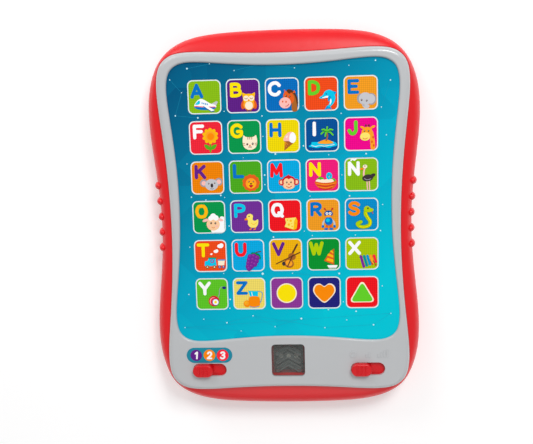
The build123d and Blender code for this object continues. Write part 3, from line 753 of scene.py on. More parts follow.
@dataclass(frozen=True)
class Lettering:
    """Round-ended capitals and figures, drawn as strokes in a unit box."""

    low: Point = (-7.55, 0.3)
    wide: float = 5.9
    tall: float = 6.9
    weight: float = 2.15
    slant: float = 0.0
    strokes: dict[str, str] = field(
        default_factory=lambda: {
            "A": "0,0 .5,1 1,0|.24,.3 .76,.3",
            "B": (
                ".1,0 .1,1|~.1,1 .55,1 .86,.9 .86,.62 .55,.54 .1,.54"
                "|~.1,.54 .6,.54 .95,.42 .95,.12 .6,0 .1,0"
            ),
            "C": "~1,.8 .72,1 .32,.97 .03,.72 .03,.28 .32,.03 .72,0 1,.2",
            "D": ".08,0 .08,1|~.08,1 .5,1 .88,.82 .98,.5 .88,.18 .5,0 .08,0",
            "E": ".95,1 .1,1 .1,0 .95,0|.1,.52 .8,.52",
            "F": ".95,1 .1,1 .1,0|.1,.52 .8,.52",
            "G": (
                "~.95,.84 .68,1 .32,.97 .03,.72 .03,.28 .32,.03 .68,0 .96,.16 .98,.44"
                "|.98,.44 .6,.44"
            ),
            "H": ".05,0 .05,1|.95,0 .95,1|.05,.5 .95,.5",
            "I": ".5,0 .5,1",
            "J": "~.75,1 .75,.6 .75,.3 .58,.04 .28,.02 .06,.26",
            "K": ".1,0 .1,1|.95,1 .1,.38|.42,.6 .98,0",
            "L": ".12,1 .12,0 .95,0",
            "M": "0,0 .06,1 .5,.22 .94,1 1,0",
            "N": ".05,0 .05,1 .95,0 .95,1",
            "O": "~.5,1 .82,.92 1,.5 .82,.08 .5,0 .18,.08 0,.5 .18,.92 .5,1",
            "P": ".1,0 .1,1|~.1,1 .6,1 .94,.88 .94,.58 .6,.46 .1,.46",
            "Q": "~.5,1 .82,.92 1,.5 .82,.08 .5,0 .18,.08 0,.5 .18,.92 .5,1|.66,.24 1,-.06",
            "R": ".1,0 .1,1|~.1,1 .6,1 .92,.88 .92,.6 .6,.48 .1,.48|.55,.46 .96,0",
            "S": "~.94,.84 .66,1 .3,.98 .08,.78 .28,.56 .7,.46 .93,.24 .7,.02 .32,0 .04,.16",
            "T": "0,1 1,1|.5,1 .5,0",
            "U": "~.05,1 .05,.6 .06,.3 .26,.04 .5,0 .74,.04 .94,.3 .95,.6 .95,1",
            "V": "0,1 .5,0 1,1",
            "W": "-.1,1 .22,0 .5,.86 .78,0 1.1,1",
            "X": "0,1 1,0|1,1 0,0",
            "Y": "0,1 .5,.45 1,1|.5,.45 .5,0",
            "Z": ".05,1 .95,1 .05,0 .95,0",
            "1": ".22,.78 .6,1 .6,0",
            "2": "~.08,.78 .26,.98 .64,.98 .84,.74 .66,.44 .08,0|.08,0 .9,0",
            "3": (
                "~.1,.88 .34,1 .7,.96 .8,.74 .62,.54 .42,.52"
                "|~.42,.52 .7,.5 .88,.26 .68,.02 .3,0 .06,.12"
            ),
        }
    )

    def write(self, art: Artwork, letter: str, ink: Ink) -> None:
        """Draw one letter or figure.

        Args:
            art: The print to draw on.
            letter: The character.
            ink: Its ink.
        """
        for stroke in self.strokes[letter].split("|"):
            soft = stroke.startswith("~")
            marks = [
                tuple(float(part) for part in mark.split(","))
                for mark in stroke.lstrip("~").split()
            ]
            points = [
                (
                    self.low[0] + (across + up * self.slant) * self.wide,
                    self.low[1] + up * self.tall,
                )
                for across, up in marks
            ]
            art.line(ink, self.weight, points, soft)


class Pictures:
    """The small drawings of the keys, in millimetres about the key's middle."""

    def __init__(self, art: Artwork) -> None:
        """Draw on one key's print.

        Args:
            art: The print.
        """
        self.art = art

    def eyes(self, left: Point, right: Point, size: float = 0.5) -> None:
        """Draw two dark eyes with a glint.

        Args:
            left: The middle of one.
            right: The middle of the other.
            size: Half the width of each.
        """
        for x, y in (left, right):
            self.art.oval(Ink.UMBER, x, y, size, size * 1.15)
            self.art.oval(Ink.WHITE, x - size * 0.3, y + size * 0.4, size * 0.3)

    def airplane(self) -> None:
        """A jet flying to the left."""
        art = self.art
        art.patch(
            Ink.SILVER, [(3.6, -4.6), (7.4, -2.6), (8.4, -3.2), (6.6, -6.2)], corner=0.3, soft=False
        )
        art.patch(
            Ink.WHITE,
            [
                (-6.5, -5.6), (-5.2, -2.9), (-2.6, -1.1), (0, -1.8), (3.6, -4), (6.6, -5),
                (6.8, -6.6), (1, -6.9), (-4, -6.8),
            ],
        )
        art.patch(
            Ink.BLUE, [(-6.3, -5.8), (0, -6.3), (6.6, -6.4), (5.6, -7.5), (0, -7.9), (-4.6, -7.3)]
        )
        art.line(Ink.TOMATO, 0.45, [(-6.2, -5.5), (0, -6.0), (6.6, -6.2)])
        art.patch(Ink.CYAN, [(-5.8, -4.5), (-4.6, -3), (-3.4, -2.1), (-2.7, -2.8), (-3.3, -4.3)])
        for step in range(4):
            art.oval(Ink.AZURE, -1.5 + 1.05 * step, -3.7 - 0.25 * step, 0.36, 0.55)
        art.patch(
            Ink.COBALT, [(-1.2, -5.6), (2.2, -6), (6.4, -8.7), (4.2, -9.3)], soft=False, corner=0.2
        )
        art.patch(
            Ink.WHITE, [(-1, -5.3), (2, -5.7), (6.2, -8.2), (4.2, -8.8)], soft=False, corner=0.2
        )

    def owl(self) -> None:
        """A sleepy owl."""
        art = self.art
        for side in (-1, 1):
            art.oval(Ink.RUST, 3.5 + 3.3 * side, -5.2, 1.5, 2.9, 14 * side)
            art.line(Ink.BROWN, 0.6, [(3.5 + 1.1 * side, -8.2), (3.5 + 1.1 * side, -9.3)])
        art.oval(Ink.AMBER, 3.5, -5.3, 3.4, 3.4)
        art.patch(
            Ink.GOLD,
            [
                (-0.4, 2), (1.6, 1.2), (3.5, 1.3), (5.4, 1.2), (7.4, 2), (7.1, -1), (6.6, -3.4),
                (3.5, -4.3), (0.4, -3.4), (-0.1, -1),
            ],
        )
        art.oval(Ink.CREAM, 3.5, -5.9, 2.4, 2.5)
        for side in (-1, 1):
            x = 3.5 + 1.65 * side
            art.oval(Ink.CREAM, x, -1.5, 1.7, 1.65)
            art.line(Ink.BROWN, 0.35, [(x - 0.9, -1.3), (x, -1.9), (x + 0.9, -1.3)])
        art.patch(Ink.ORANGE, [(3, -2.2), (4, -2.2), (3.5, -3.5)], soft=False, corner=0.15)

    def horse(self) -> None:
        """A foal's head looking left."""
        art = self.art
        art.patch(
            Ink.UMBER,
            [(2.8, 2.4), (4.6, 3.3), (7.6, 1.6), (9.6, -3), (9.3, -6.8), (7.4, -4), (5, 0)],
        )
        art.patch(Ink.BROWN, [(4.6, 0), (7.4, 0), (8.8, -5), (9.2, -9.6), (6.2, -9.9), (5.6, -5)])
        for side in (-1, 1):
            art.patch(
                Ink.RUST,
                [
                    (4.6 + 1.6 * side, 0.6),
                    (4.9 + 3.4 * side, 1.2),
                    (4.6 + 3.1 * side, 3.2 - 0.4 * side),
                ],
                corner=0.3,
                soft=False,
            )
        art.oval(Ink.RUST, 4.1, -1.6, 3.1, 4.1, 28)
        art.patch(Ink.UMBER, [(3, 2.4), (5.6, 2.6), (5, 0.6), (3.8, 1)])
        art.oval(Ink.PINK, 1.8, -4.9, 3.6, 3.4)
        self.eyes((2.4, -0.7), (4.7, -1.1), 0.5)
        art.oval(Ink.RUST, 0.3, -4.1, 0.45, 0.6)
        art.oval(Ink.RUST, 2.4, -4.3, 0.45, 0.6)
        art.line(Ink.CRIMSON, 0.4, [(2.2, -7), (3.4, -6.6), (4, -5.7)])

    def dolphin(self) -> None:
        """A leaping dolphin."""
        art = self.art
        art.patch(Ink.AZURE, [(6.6, 1.6), (9.4, 0.8), (8.2, -1.2)], soft=False, corner=0.3)
        art.patch(
            Ink.AZURE,
            [(3.4, -7.2), (1.7, -9.9), (4.1, -9.2), (6.4, -9.6), (5, -7)],
            soft=False,
            corner=0.3,
        )
        art.patch(
            Ink.CYAN,
            [
                (-1.3, -2.5), (1, -0.7), (2.4, 1.5), (5.2, 2.3), (7.7, 0.7), (8.6, -2.8), (7.4, -6),
                (5, -8.2), (3.7, -8), (4.8, -6), (5.4, -3.6), (3.8, -2.2), (1.4, -3),
            ],
        )
        art.patch(
            Ink.WHITE,
            [
                (0.4, -2.6), (3.4, -1.4), (5.4, -2.4), (6.2, -4.6), (5.2, -6.8), (5.2, -4),
                (3.8, -2.5),
            ],
        )
        art.patch(Ink.AZURE, [(4.4, -1.6), (6, -2), (4.8, -4.8), (4, -3.6)])
        art.oval(Ink.NAVY, 3.1, -0.2, 0.42)

    def elephant(self) -> None:
        """An elephant's face."""
        art = self.art
        art.oval(Ink.ASH, 6.4, -4, 3.1, 3.5)
        art.oval(Ink.SILVER, 6.2, -3.9, 2.5, 2.9)
        art.oval(Ink.ASH, 0, -3.6, 2.3, 3)
        art.oval(Ink.SILVER, 2.7, -3.7, 3.9, 3.8)
        art.line(Ink.SILVER, 2.1, [(1.8, -4.6), (1.7, -7), (2.8, -8.5), (4.2, -8.3)])
        art.line(Ink.ASH, 0.25, [(0.9, -6.9), (2.1, -7.2)])
        art.line(Ink.ASH, 0.25, [(1.1, -8), (2.2, -7.9)])
        self.eyes((0.5, -4.4), (3.6, -4.9))

    def sunflower(self) -> None:
        """A sunflower with two leaves."""
        art = self.art
        art.line(Ink.GRASS, 0.9, [(2.8, -3), (2.6, -8.8)])
        for side in (-1, 1):
            art.patch(
                Ink.GRASS,
                [
                    (2.7, -7.4),
                    (2.7 + 1.2 * side, -4.9),
                    (2.7 + 3.8 * side, -4.3),
                    (2.7 + 2.6 * side, -6.9),
                ],
            )
        for step in range(10):
            angle = math.tau * (step + 0.5) / 10
            art.oval(
                Ink.GOLD,
                2.8 + 3.3 * math.cos(angle),
                1 + 3.3 * math.sin(angle),
                1.75,
                1.25,
                math.degrees(angle),
            )
        art.oval(Ink.AMBER, 2.8, 1, 3.0)
        art.oval(Ink.ORANGE, 3.0, 0.7, 2.1)

    def cat(self) -> None:
        """A striped kitten's face."""
        art = self.art
        art.patch(
            Ink.CREAM,
            [
                (-0.6, 0.8), (0.9, 0), (3.4, -0.3), (5.9, 0), (7.4, 0.8), (7.9, -3.6), (6.8, -6.8),
                (3.4, -8.2), (0, -6.8), (-1.1, -3.6),
            ],
        )
        for x in (2.2, 3.4, 4.6):
            art.line(Ink.BROWN, 0.4, [(x, -0.3), (x, -1.6)])
        for side in (-1, 1):
            for drop in (0, 1):
                art.line(
                    Ink.BROWN, 0.3, [(3.4 + 4.3 * side, -4 - drop), (3.4 + 3.1 * side, -4.2 - drop)]
                )
        self.eyes((1.7, -4.6), (5.1, -4.4), 0.6)
        art.oval(Ink.RUST, 3.4, -5.4, 0.5, 0.35)
        art.line(Ink.UMBER, 0.25, [(2.4, -6.3), (2.9, -6.6), (3.4, -6), (3.9, -6.6), (4.4, -6.3)])

    def ice_cream(self) -> None:
        """A cone with two scoops of ice cream."""
        art = self.art
        art.patch(Ink.BROWN, [(0.6, -9.2), (6.4, -4.6), (0.9, -2.4)], soft=False, corner=0.4)
        for step in range(3):
            art.line(
                Ink.AMBER, 0.25, [(1 + step, -8 + 1.2 * step), (1 + 0.1 * step, -4 + 0.2 * step)]
            )
        art.patch(
            Ink.PINK,
            [
                (0.4, -3), (1, -0.4), (3.4, 2), (6, 2.1), (7.5, 0.3), (7.6, -2.4), (6.4, -4.2),
                (3.6, -3.4),
            ],
        )
        art.patch(
            Ink.WHITE,
            [(4.2, -3.6), (3.9, -1), (4.8, 1.4), (6.4, 2), (7.9, -0.2), (7.7, -3), (6.2, -4.5)],
        )
        art.oval(Ink.CREAM, 2.4, -0.6, 0.5, 0.9, -30)

    def island(self) -> None:
        """A palm on a desert island."""
        art = self.art
        art.patch(
            Ink.CYAN,
            [
                (-8.3, -6.9), (-6.6, -5.6), (-6.2, -4.4), (-2.4, -4.3), (0.6, -3.7), (5.2, -3.9),
                (8, -4.6), (9.4, -6.6), (6.6, -7.4), (4, -8.1), (0.6, -7.4), (-3, -8), (-6, -7.5),
            ],
        )
        art.line(
            Ink.WHITE,
            0.3,
            [(-6.4, -6.4), (-4, -7), (-1.6, -6.5), (1.4, -6.9), (4.4, -6.6), (7.6, -6.1)],
        )
        art.patch(
            Ink.AMBER, [(-2.6, -5), (0.2, -3.4), (3, -3), (5.8, -4), (6.8, -5.2), (2.4, -5.7)]
        )
        art.line(Ink.BROWN, 0.8, [(2.6, -3.6), (3.4, -1), (3, 1.6)])
        for tip in ((-0.4, 0.6), (0.2, 3.2), (3.4, 4.8), (6.6, 3), (6.8, -0.2), (2, -0.8)):
            middle = ((3 + tip[0]) / 2, (2 + tip[1]) / 2 + 0.7)
            art.line(Ink.SPRING, 0.95, [(3, 1.8), middle, tip])
        art.line(Ink.JADE, 0.35, [(0.4, 2.6), (3, 1.9), (6.2, 2.4)])

    def giraffe(self) -> None:
        """A young giraffe's head and neck."""
        art = self.art
        art.line(Ink.AMBER, 2.9, [(6, 0.6), (6.9, -3.8), (7.2, -8.4)])
        for x, y in ((7.4, -2.2), (6.6, -5), (7.7, -7.2)):
            art.oval(Ink.RUST, x, y, 0.6, 0.8)
        for x in (2.9, 4.7):
            art.line(Ink.UMBER, 0.5, [(x + 0.4, 3.2), (x + 0.1, 5.1)])
            art.oval(Ink.UMBER, x + 0.1, 5.2, 0.55)
        art.oval(Ink.AMBER, 0.9, 3.9, 1.5, 0.7, -24)
        art.oval(Ink.AMBER, 7.2, 4.1, 1.6, 0.7, 24)
        art.patch(
            Ink.AMBER, [(1.2, 3), (3.8, 4.2), (6.4, 3.1), (6.4, 0), (4.8, -3), (1.2, -3), (0.2, 0)]
        )
        art.oval(Ink.LEMON, 2.5, -1.7, 3.1, 2.5)
        self.eyes((2.1, 1.7), (4.6, 1.7), 0.45)
        art.line(Ink.RUST, 0.35, [(1.1, -2.6), (2.5, -3.2), (3.9, -2.6)])

    def koala(self) -> None:
        """A koala's face."""
        art = self.art
        for x, y in ((-2.4, -3.3), (7, -2.6)):
            art.oval(Ink.ASH, x, y, 2.4)
            art.oval(Ink.PINK, x, y - 0.1, 1.5)
        art.oval(Ink.SILVER, 2.4, -4.4, 4.1, 3.6)
        self.eyes((0.6, -3.7), (4.4, -3.4), 0.42)
        art.oval(Ink.COAL, 2.6, -4.9, 0.85, 1.35)
        art.line(Ink.COAL, 0.25, [(1.6, -6.8), (2.6, -7.1), (3.6, -6.8)])

    def lion(self) -> None:
        """A laughing lion."""
        art = self.art
        for step in range(11):
            angle = math.tau * step / 11
            art.oval(Ink.RUST, 3.3 + 3.9 * math.cos(angle), -3.7 + 3.8 * math.sin(angle), 1.6)
        art.oval(Ink.RUST, 3.3, -3.7, 4.3)
        art.oval(Ink.AMBER, 3.3, -4.1, 3.4, 3.3)
        art.oval(Ink.GOLD, 3.3, -5.2, 2.2, 1.8)
        self.eyes((2, -3), (4.7, -3), 0.42)
        art.oval(Ink.UMBER, 3.3, -4.3, 0.7, 0.45)
        art.patch(Ink.CRIMSON, [(1.9, -5.3), (3.3, -5.0), (4.7, -5.3), (3.3, -6.8)])

    def monkey(self) -> None:
        """A monkey's face."""
        art = self.art
        for side in (-1, 1):
            art.oval(Ink.CRIMSON, 3 + 4.6 * side, -3.8, 1.8, 2)
            art.oval(Ink.PEACH, 3 + 4.7 * side, -3.8, 1.05, 1.2)
        art.patch(
            Ink.CRIMSON,
            [
                (-1.2, -3), (0, -0.8), (2, 0.3), (3, 1), (3.6, 0.3), (6, -0.8), (7.2, -3),
                (6.4, -7), (3, -8.2), (-0.4, -7),
            ],
        )
        art.oval(Ink.PEACH, 1.6, -3.6, 1.9, 2.2)
        art.oval(Ink.PEACH, 4.4, -3.6, 1.9, 2.2)
        art.oval(Ink.PEACH, 3, -6, 3.6, 2.3)
        self.eyes((1.7, -3.9), (4.3, -3.9), 0.5)
        art.oval(Ink.RUST, 3, -5.1, 0.7, 0.45)
        art.line(Ink.CRIMSON, 0.4, [(1.4, -6.4), (3, -7.2), (4.6, -6.4)])

    def nest(self) -> None:
        """A nest with eggs and a small bird."""
        art = self.art
        art.oval(Ink.CYAN, 4.1, -0.5, 1.9, 2.3)
        for x, y, turn in ((-2.6, -2.6, 30), (-0.8, -2, -20), (6.4, -2.9, -20)):
            art.oval(Ink.GRASS, x, y, 1.7, 0.9, turn)
        for x in (-2.6, 0, 2.6, 5.2):
            art.oval(Ink.CREAM, x, -3.7, 1.7, 1.3)
        art.patch(
            Ink.RUST,
            [
                (-4.9, -3.8), (-1, -4.5), (2.4, -4.7), (6, -4.3), (9, -3.4), (8.2, -6.6),
                (5.4, -8.8), (0, -9), (-3.6, -6.8),
            ],
        )
        for step in range(4):
            art.line(
                (Ink.AMBER, Ink.CRIMSON)[step % 2], 0.35,
                [(-3.8 + 0.5 * step, -5 - step), (2, -5.9 - step), (8 - 0.8 * step, -4.9 - step)],
            )
        self.eyes((3.4, -0.1), (4.9, -0.1), 0.3)
        art.patch(Ink.ORANGE, [(3.8, -0.6), (4.5, -0.6), (4.1, -1.4)], soft=False)

    def ostrich(self) -> None:
        """An ostrich."""
        art = self.art
        for x in (3.4, 4.8):
            art.line(Ink.PINK, 0.7, [(x, -3.6), (x + 0.3, -9.3)])
        art.line(Ink.PINK, 1.05, [(2.4, 4.6), (1.7, 2.2), (1.5, -0.6), (2.4, -1.8)])
        art.oval(Ink.COAL, 3.9, -2.2, 3.4, 2.1, 8)
        art.oval(Ink.COAL, 6.9, -0.8, 1.9, 1.1, 30)
        art.line(Ink.ASH, 0.4, [(1.9, -2.6), (3.6, -3.4), (5.8, -2.8)])
        art.oval(Ink.CREAM, 2.3, 4.9, 1.35, 1.2)
        art.patch(
            Ink.ORANGE, [(1.4, 4.2), (1.3, 3.2), (-1.2, 2.6), (-0.6, 3.9)], soft=False, corner=0.15
        )
        art.oval(Ink.COAL, 2.2, 5.2, 0.35)

    def sheep(self) -> None:
        """A woolly sheep."""
        art = self.art
        art.patch(
            Ink.WHITE,
            [(1, -9.7), (9.6, -9.7), (9.6, 0.2), (7.4, 0.6), (6, -2), (1.4, -6)],
            soft=False,
            corner=0.9,
        )
        art.oval(Ink.PINK, -2.2, -1.9, 2.1, 0.9, 18)
        art.oval(Ink.PINK, 7.1, -1.7, 1.9, 0.9, -18)
        art.oval(Ink.PEACH, 2.5, -4.6, 4.2, 4)
        for x, y, size in ((1, -0.7, 1.5), (2.7, 0.4, 2), (4.4, -0.5, 1.7)):
            art.oval(Ink.WHITE, x, y, size)
        self.eyes((1.2, -3.8), (3.9, -3.9), 0.6)
        for x in (-0.3, 4.7):
            art.oval(Ink.PINK, x, -5.8, 0.9, 0.6)
        art.line(Ink.RUST, 0.3, [(1.5, -6.4), (2.5, -6.9), (3.3, -6.4)])

    def duck(self) -> None:
        """A duckling."""
        art = self.art
        for x in (2.6, 5.2):
            art.line(Ink.ORANGE, 0.6, [(x, -6.6), (x - 0.2, -8.2), (x - 1, -8.3)], soft=False)
        art.patch(
            Ink.ORANGE,
            [(0.4, -0.6), (-1.2, -1.2), (-1.6, -2.4), (0.6, -2.4)],
            soft=False,
            corner=0.2,
        )
        art.patch(
            Ink.LEMON,
            [
                (0.6, -2.6), (-0.2, -0.4), (0.6, 1.3), (2.4, 1.7), (3.9, 0.4), (3.6, -2), (5, -2.8),
                (7, -2), (6.9, -5), (5.4, -7), (2.4, -7), (0.6, -5.2),
            ],
        )
        art.line(Ink.GOLD, 0.35, [(2.6, -4.2), (4.2, -5.2), (6, -4)])
        art.oval(Ink.UMBER, 1.4, 0.1, 0.38)

    def cheese(self) -> None:
        """A wedge of cheese."""
        art = self.art
        art.patch(
            Ink.GOLD,
            [(0, -1.7), (7, -1.1), (7.9, -3.4), (7.2, -8.4), (5.4, -9), (-0.4, -7.1), (0.7, -4.4)],
            soft=False,
            corner=0.5,
        )
        art.patch(
            Ink.LEMON,
            [(0, -1.6), (7, -1.1), (5.7, -3.4), (5.2, -8.7), (-0.3, -6.9), (0.7, -4.4)],
            soft=False,
            corner=0.4,
        )
        holes = (
            (1.6, -2.8, 0.5), (3.6, -3.2, 0.75), (2.4, -5.6, 0.8), (4.4, -6.8, 0.5),
            (6.6, -4.8, 0.55), (4.2, -5, 0.3),
        )
        for x, y, size in holes:
            art.oval(Ink.GOLD if x < 6 else Ink.AMBER, x, y, size)

    def robot(self) -> None:
        """A friendly robot."""
        art = self.art
        for side in (-1, 1):
            art.line(Ink.UMBER, 0.35, [(3.4 + 0.9 * side, 2), (3.4 + 2.3 * side, 3.8)])
            art.oval(Ink.CRIMSON, 3.4 + 2.4 * side, 3.9, 0.6)
            art.line(
                Ink.SILVER,
                1.2,
                [(3.4 + 2 * side, -3), (3.4 + 3.4 * side, -4.8), (3.4 + 3.6 * side, -6.6)],
            )
            art.oval(Ink.BLUE, 3.4 + 3.6 * side, -7.2, 0.9)
            art.line(Ink.RUST, 1.3, [(3.4 + 1.1 * side, -6), (3.4 + 1.2 * side, -8)])
            art.oval(Ink.BLUE, 3.4 + 1.6 * side, -8.8, 1.3, 0.7)
        art.oval(Ink.COBALT, 3.4, 0.8, 2.7, 2.1)
        art.oval(Ink.BLUE, 3.4, -3.8, 2.5, 2.7)
        art.oval(Ink.CYAN, 2.9, -3.3, 1.2)
        art.oval(Ink.AMBER, 3.4, -0.7, 1.9, 0.7)
        for side in (-1, 1):
            art.oval(Ink.WHITE, 3.4 + 1 * side, 1, 0.85)
            art.oval(Ink.UMBER, 3.4 + 1 * side, 1, 0.35)

    def snake(self) -> None:
        """A snake with its head up."""
        art = self.art
        path = [
            (3, 3), (2.3, 0.6), (3.6, -2), (5.2, -4.4), (4.6, -6.8), (1.6, -7.9), (-1.4, -7.4),
            (-2.6, -5.8), (-0.6, -4.7),
        ]
        art.line(Ink.GRASS, 2.5, path)
        art.line(Ink.CHARTREUSE, 2.1, path)
        art.patch(
            Ink.CHARTREUSE,
            [(1.6, 2), (1.7, 4.4), (3.6, 5.4), (5.6, 4), (7.3, 3.2), (6.6, 1.7), (4, 1.4)],
        )
        art.line(
            Ink.YELLOW,
            0.6,
            [(2.6, 1.2), (3.9, -1.8), (5.5, -4.4), (4.8, -7), (1.6, -8.1), (-1.4, -7.6)],
        )
        art.line(Ink.CRIMSON, 0.35, [(6.4, 1.8), (6.9, 0.4)])
        art.oval(Ink.UMBER, 3.9, 3.8, 0.5)

    def train(self) -> None:
        """A steam train with puffs of smoke."""
        art = self.art
        for x, y, size in ((6.4, 6.3, 1.3), (3.5, 2.9, 1.0), (0.5, 1.1, 0.5)):
            art.oval(Ink.WHITE, x, y, size * 1.5, size)
            art.oval(Ink.WHITE, x + size * 0.6, y + size * 0.4, size)
        art.line(Ink.JADE, 1.0, [(-1.2, -1.4), (3.4, -1.4)])
        art.patch(
            Ink.CYAN,
            [(-3.8, -3.2), (-2, -3.2), (-1.4, -1.6), (3.2, -1.6), (3.6, -6.6), (-4.1, -6.6)],
            soft=False,
            corner=0.6,
        )
        art.oval(Ink.ORCHID, 0.9, -3.4, 1.3)
        art.oval(Ink.CYAN, 0.9, -3.4, 0.7)
        art.patch(
            Ink.CREAM, [(4.6, -2.8), (9, -2.8), (8.6, -6.2), (4.6, -6.2)], soft=False, corner=0.4
        )
        art.line(Ink.AZURE, 0.8, [(4.7, -2.7), (9, -2.7)])
        for x, size in ((-2.3, 1.2), (2.2, 1.2), (5.6, 0.9), (8, 0.9)):
            art.oval(Ink.BROWN if x < 4 else Ink.COBALT, x, -7.2, size)
            art.oval(Ink.CREAM, x, -7.2, size * 0.35)

    def grapes(self) -> None:
        """A bunch of grapes."""
        art = self.art
        art.line(Ink.UMBER, 0.6, [(3.6, 0.6), (5.6, 2), (8.2, 2.4)])
        art.patch(Ink.JADE, [(2, 1.4), (4, 1.8), (7.4, 0.4), (7.8, -2.6), (5, -1)])
        bunch = (
            (1.4, -0.8), (3.7, -0.5), (5.6, -1.6), (0.7, -2.9), (3, -2.7), (5.1, -3.7), (0.3, -5.0),
            (2.6, -5), (4.1, -5.7), (0, -7.1), (1.9, -7.1), (0.4, -8.4),
        )
        for x, y in bunch:
            art.oval(Ink.VIOLET, x, y, 1.7)
            art.oval(Ink.GRAPE, x - 0.1, y + 0.1, 1.4)
            art.oval(Ink.ORCHID, x - 0.4, y + 0.5, 0.5)

    def violin(self) -> None:
        """A violin and its bow."""
        art = self.art
        art.line(Ink.UMBER, 1.1, [(3.4, -0.6), (7.2, 6.4)])
        art.oval(Ink.BROWN, 3.9, -1.2, 2.5, 2.2, -30)
        art.oval(Ink.BROWN, 1.9, -5.6, 3.2, 2.8, -30)
        art.patch(Ink.BROWN, [(1, -3), (3.8, -4), (5, -2.6), (2.4, -0.6)], soft=False)
        art.oval(Ink.AMBER, 1.9, -5.4, 2.3, 1.9, -30)
        art.line(Ink.UMBER, 0.7, [(1.0, -7.6), (4.2, -0.6)])
        art.oval(Ink.COAL, -1.4, -5.7, 1.1, 1.4)
        art.line(Ink.UMBER, 0.65, [(-6.2, -5.8), (8.9, 1.4)])
        art.line(Ink.COAL, 0.5, [(6.4, 4.9), (7.5, 6.9)])

    def sailboat(self) -> None:
        """A boat with a striped sail."""
        art = self.art
        art.patch(
            Ink.RUST, [(6.1, 3.2), (3, 0.2), (0.2, -4.2), (6.1, -6.8)], soft=False, corner=0.2
        )
        for low, high in ((-5.6, -3.6), (-2.4, -0.8), (0.2, 1.3)):
            left = 6.1 - (3.2 - low) * 0.72
            art.patch(
                Ink.GOLD,
                [
                    (max(left, 1.4), low + 1.7),
                    (6.0, low),
                    (6.0, high),
                    (max(left, 1.4) + 1, high + 1.2),
                ],
                soft=False,
                corner=0.1,
            )
        art.line(Ink.BROWN, 0.55, [(6.4, 3.2), (6.3, -7.2)])
        art.patch(
            Ink.WHITE, [(2, -7.1), (8.8, -7.1), (7.6, -9.2), (3.2, -9.2)], soft=False, corner=0.5
        )
        art.line(Ink.ASH, 0.3, [(2.9, -8.6), (7.9, -8.6)])

    def xylophone(self) -> None:
        """A xylophone with its beaters."""
        art = self.art
        for start, end in (((-1.6, -2.4), (8.8, -1.6)), ((0.4, -8), (9, -5.4))):
            art.line(Ink.BROWN, 0.5, [start, end])
        for step, ink in enumerate((Ink.GRAPE, Ink.TEAL, Ink.AZURE, Ink.AMBER, Ink.TOMATO)):
            shift = 2.05 * step
            art.line(
                ink,
                1.7,
                [(-0.7 + shift, -1.8 + 0.1 * step), (1.1 + shift * 0.94, -8.4 + 0.75 * step)],
            )
        for x, y in ((6.4, -6.8), (8.6, -7.4)):
            art.line(Ink.UMBER, 0.35, [(x, y), (x - 1.6, y + 2.8)])
            art.oval(Ink.CRIMSON, x, y, 0.55)

    def yo_yo(self) -> None:
        """A yo-yo on its string."""
        art = self.art
        art.line(Ink.ASH, 0.45, [(3.6, -3), (4.6, 0), (4.8, 2.4), (6, 4.6), (7.6, 4.4)])
        art.oval(Ink.NAVY, 8, 4.1, 1.3, 0.9)
        art.oval(Ink.CRIMSON, 1.1, -4.6, 3.5)
        art.oval(Ink.PINK, 0.9, -4.7, 2.6)
        art.oval(Ink.TOMATO, 1.4, -4.9, 2.6)
        art.oval(Ink.COBALT, 2.0, -5.3, 2.3)
        art.oval(Ink.WHITE, 2.1, -5.3, 1.9)
        art.oval(Ink.YELLOW, 2.1, -5.3, 0.9)

    def juice(self) -> None:
        """A jug of orange juice with an orange."""
        art = self.art
        art.line(Ink.AZURE, 0.5, [(5.4, 1.4), (8.2, 0.6), (8, -3), (6.6, -6.6), (6, -8)])
        art.patch(
            Ink.CYAN, [(-0.7, 1.9), (5.7, 1.6), (5.5, -2.2), (0.6, -2.2)], soft=False, corner=0.3
        )
        art.patch(
            Ink.ORANGE, [(0.4, -2), (5.6, -2), (6.8, -5), (5.8, -8.4), (0.6, -8.4), (-0.4, -5)]
        )
        art.line(Ink.WHITE, 0.4, [(1.6, 1), (1.9, -1.4)])
        art.line(Ink.AZURE, 0.4, [(0.2, -8.6), (3.2, -9), (6, -8.4)])
        art.oval(Ink.ORANGE, -1.6, -6.6, 2.2)
        art.oval(Ink.AMBER, -1.9, -6.2, 1.4)
        art.oval(Ink.GOLD, -2.3, -5.8, 0.5)

    def disc(self) -> None:
        """A large disc."""
        self.art.oval(Ink.CREAM, 0, 0, 6.5)
        self.art.oval(Ink.YELLOW, 0, 0, 5.8)

    def heart(self) -> None:
        """A large heart."""
        half = [(0, -6.6), (4.4, -3.2), (6.9, 0.4), (6.9, 3.4), (5.2, 5.6), (2.6, 5.9), (0, 4.3)]
        outline = half + [(-x, y) for x, y in reversed(half[1:-1])]
        self.art.patch(Ink.CREAM, outline)
        self.art.patch(Ink.ORANGE, [(x * 0.89, (y + 0.2) * 0.88 - 0.2) for x, y in outline])

    def triangle(self) -> None:
        """A large round-cornered triangle."""
        corners = [(-8.6, -6.6), (8.6, -6.6), (0, 8.4)]
        self.art.patch(Ink.CREAM, corners, soft=False, corner=3.4)
        inner = [(x * 0.86, y * 0.86 - 0.4) for x, y in corners]
        self.art.patch(Ink.SPRING, inner, soft=False, corner=2.8)


@dataclass(frozen=True)
class KeyFace:
    """What one key shows: its field, its letter and its drawing."""

    node: str
    fill: Ink
    drawing: str
    letter: str = ""
    ink: Ink = Ink.WHITE


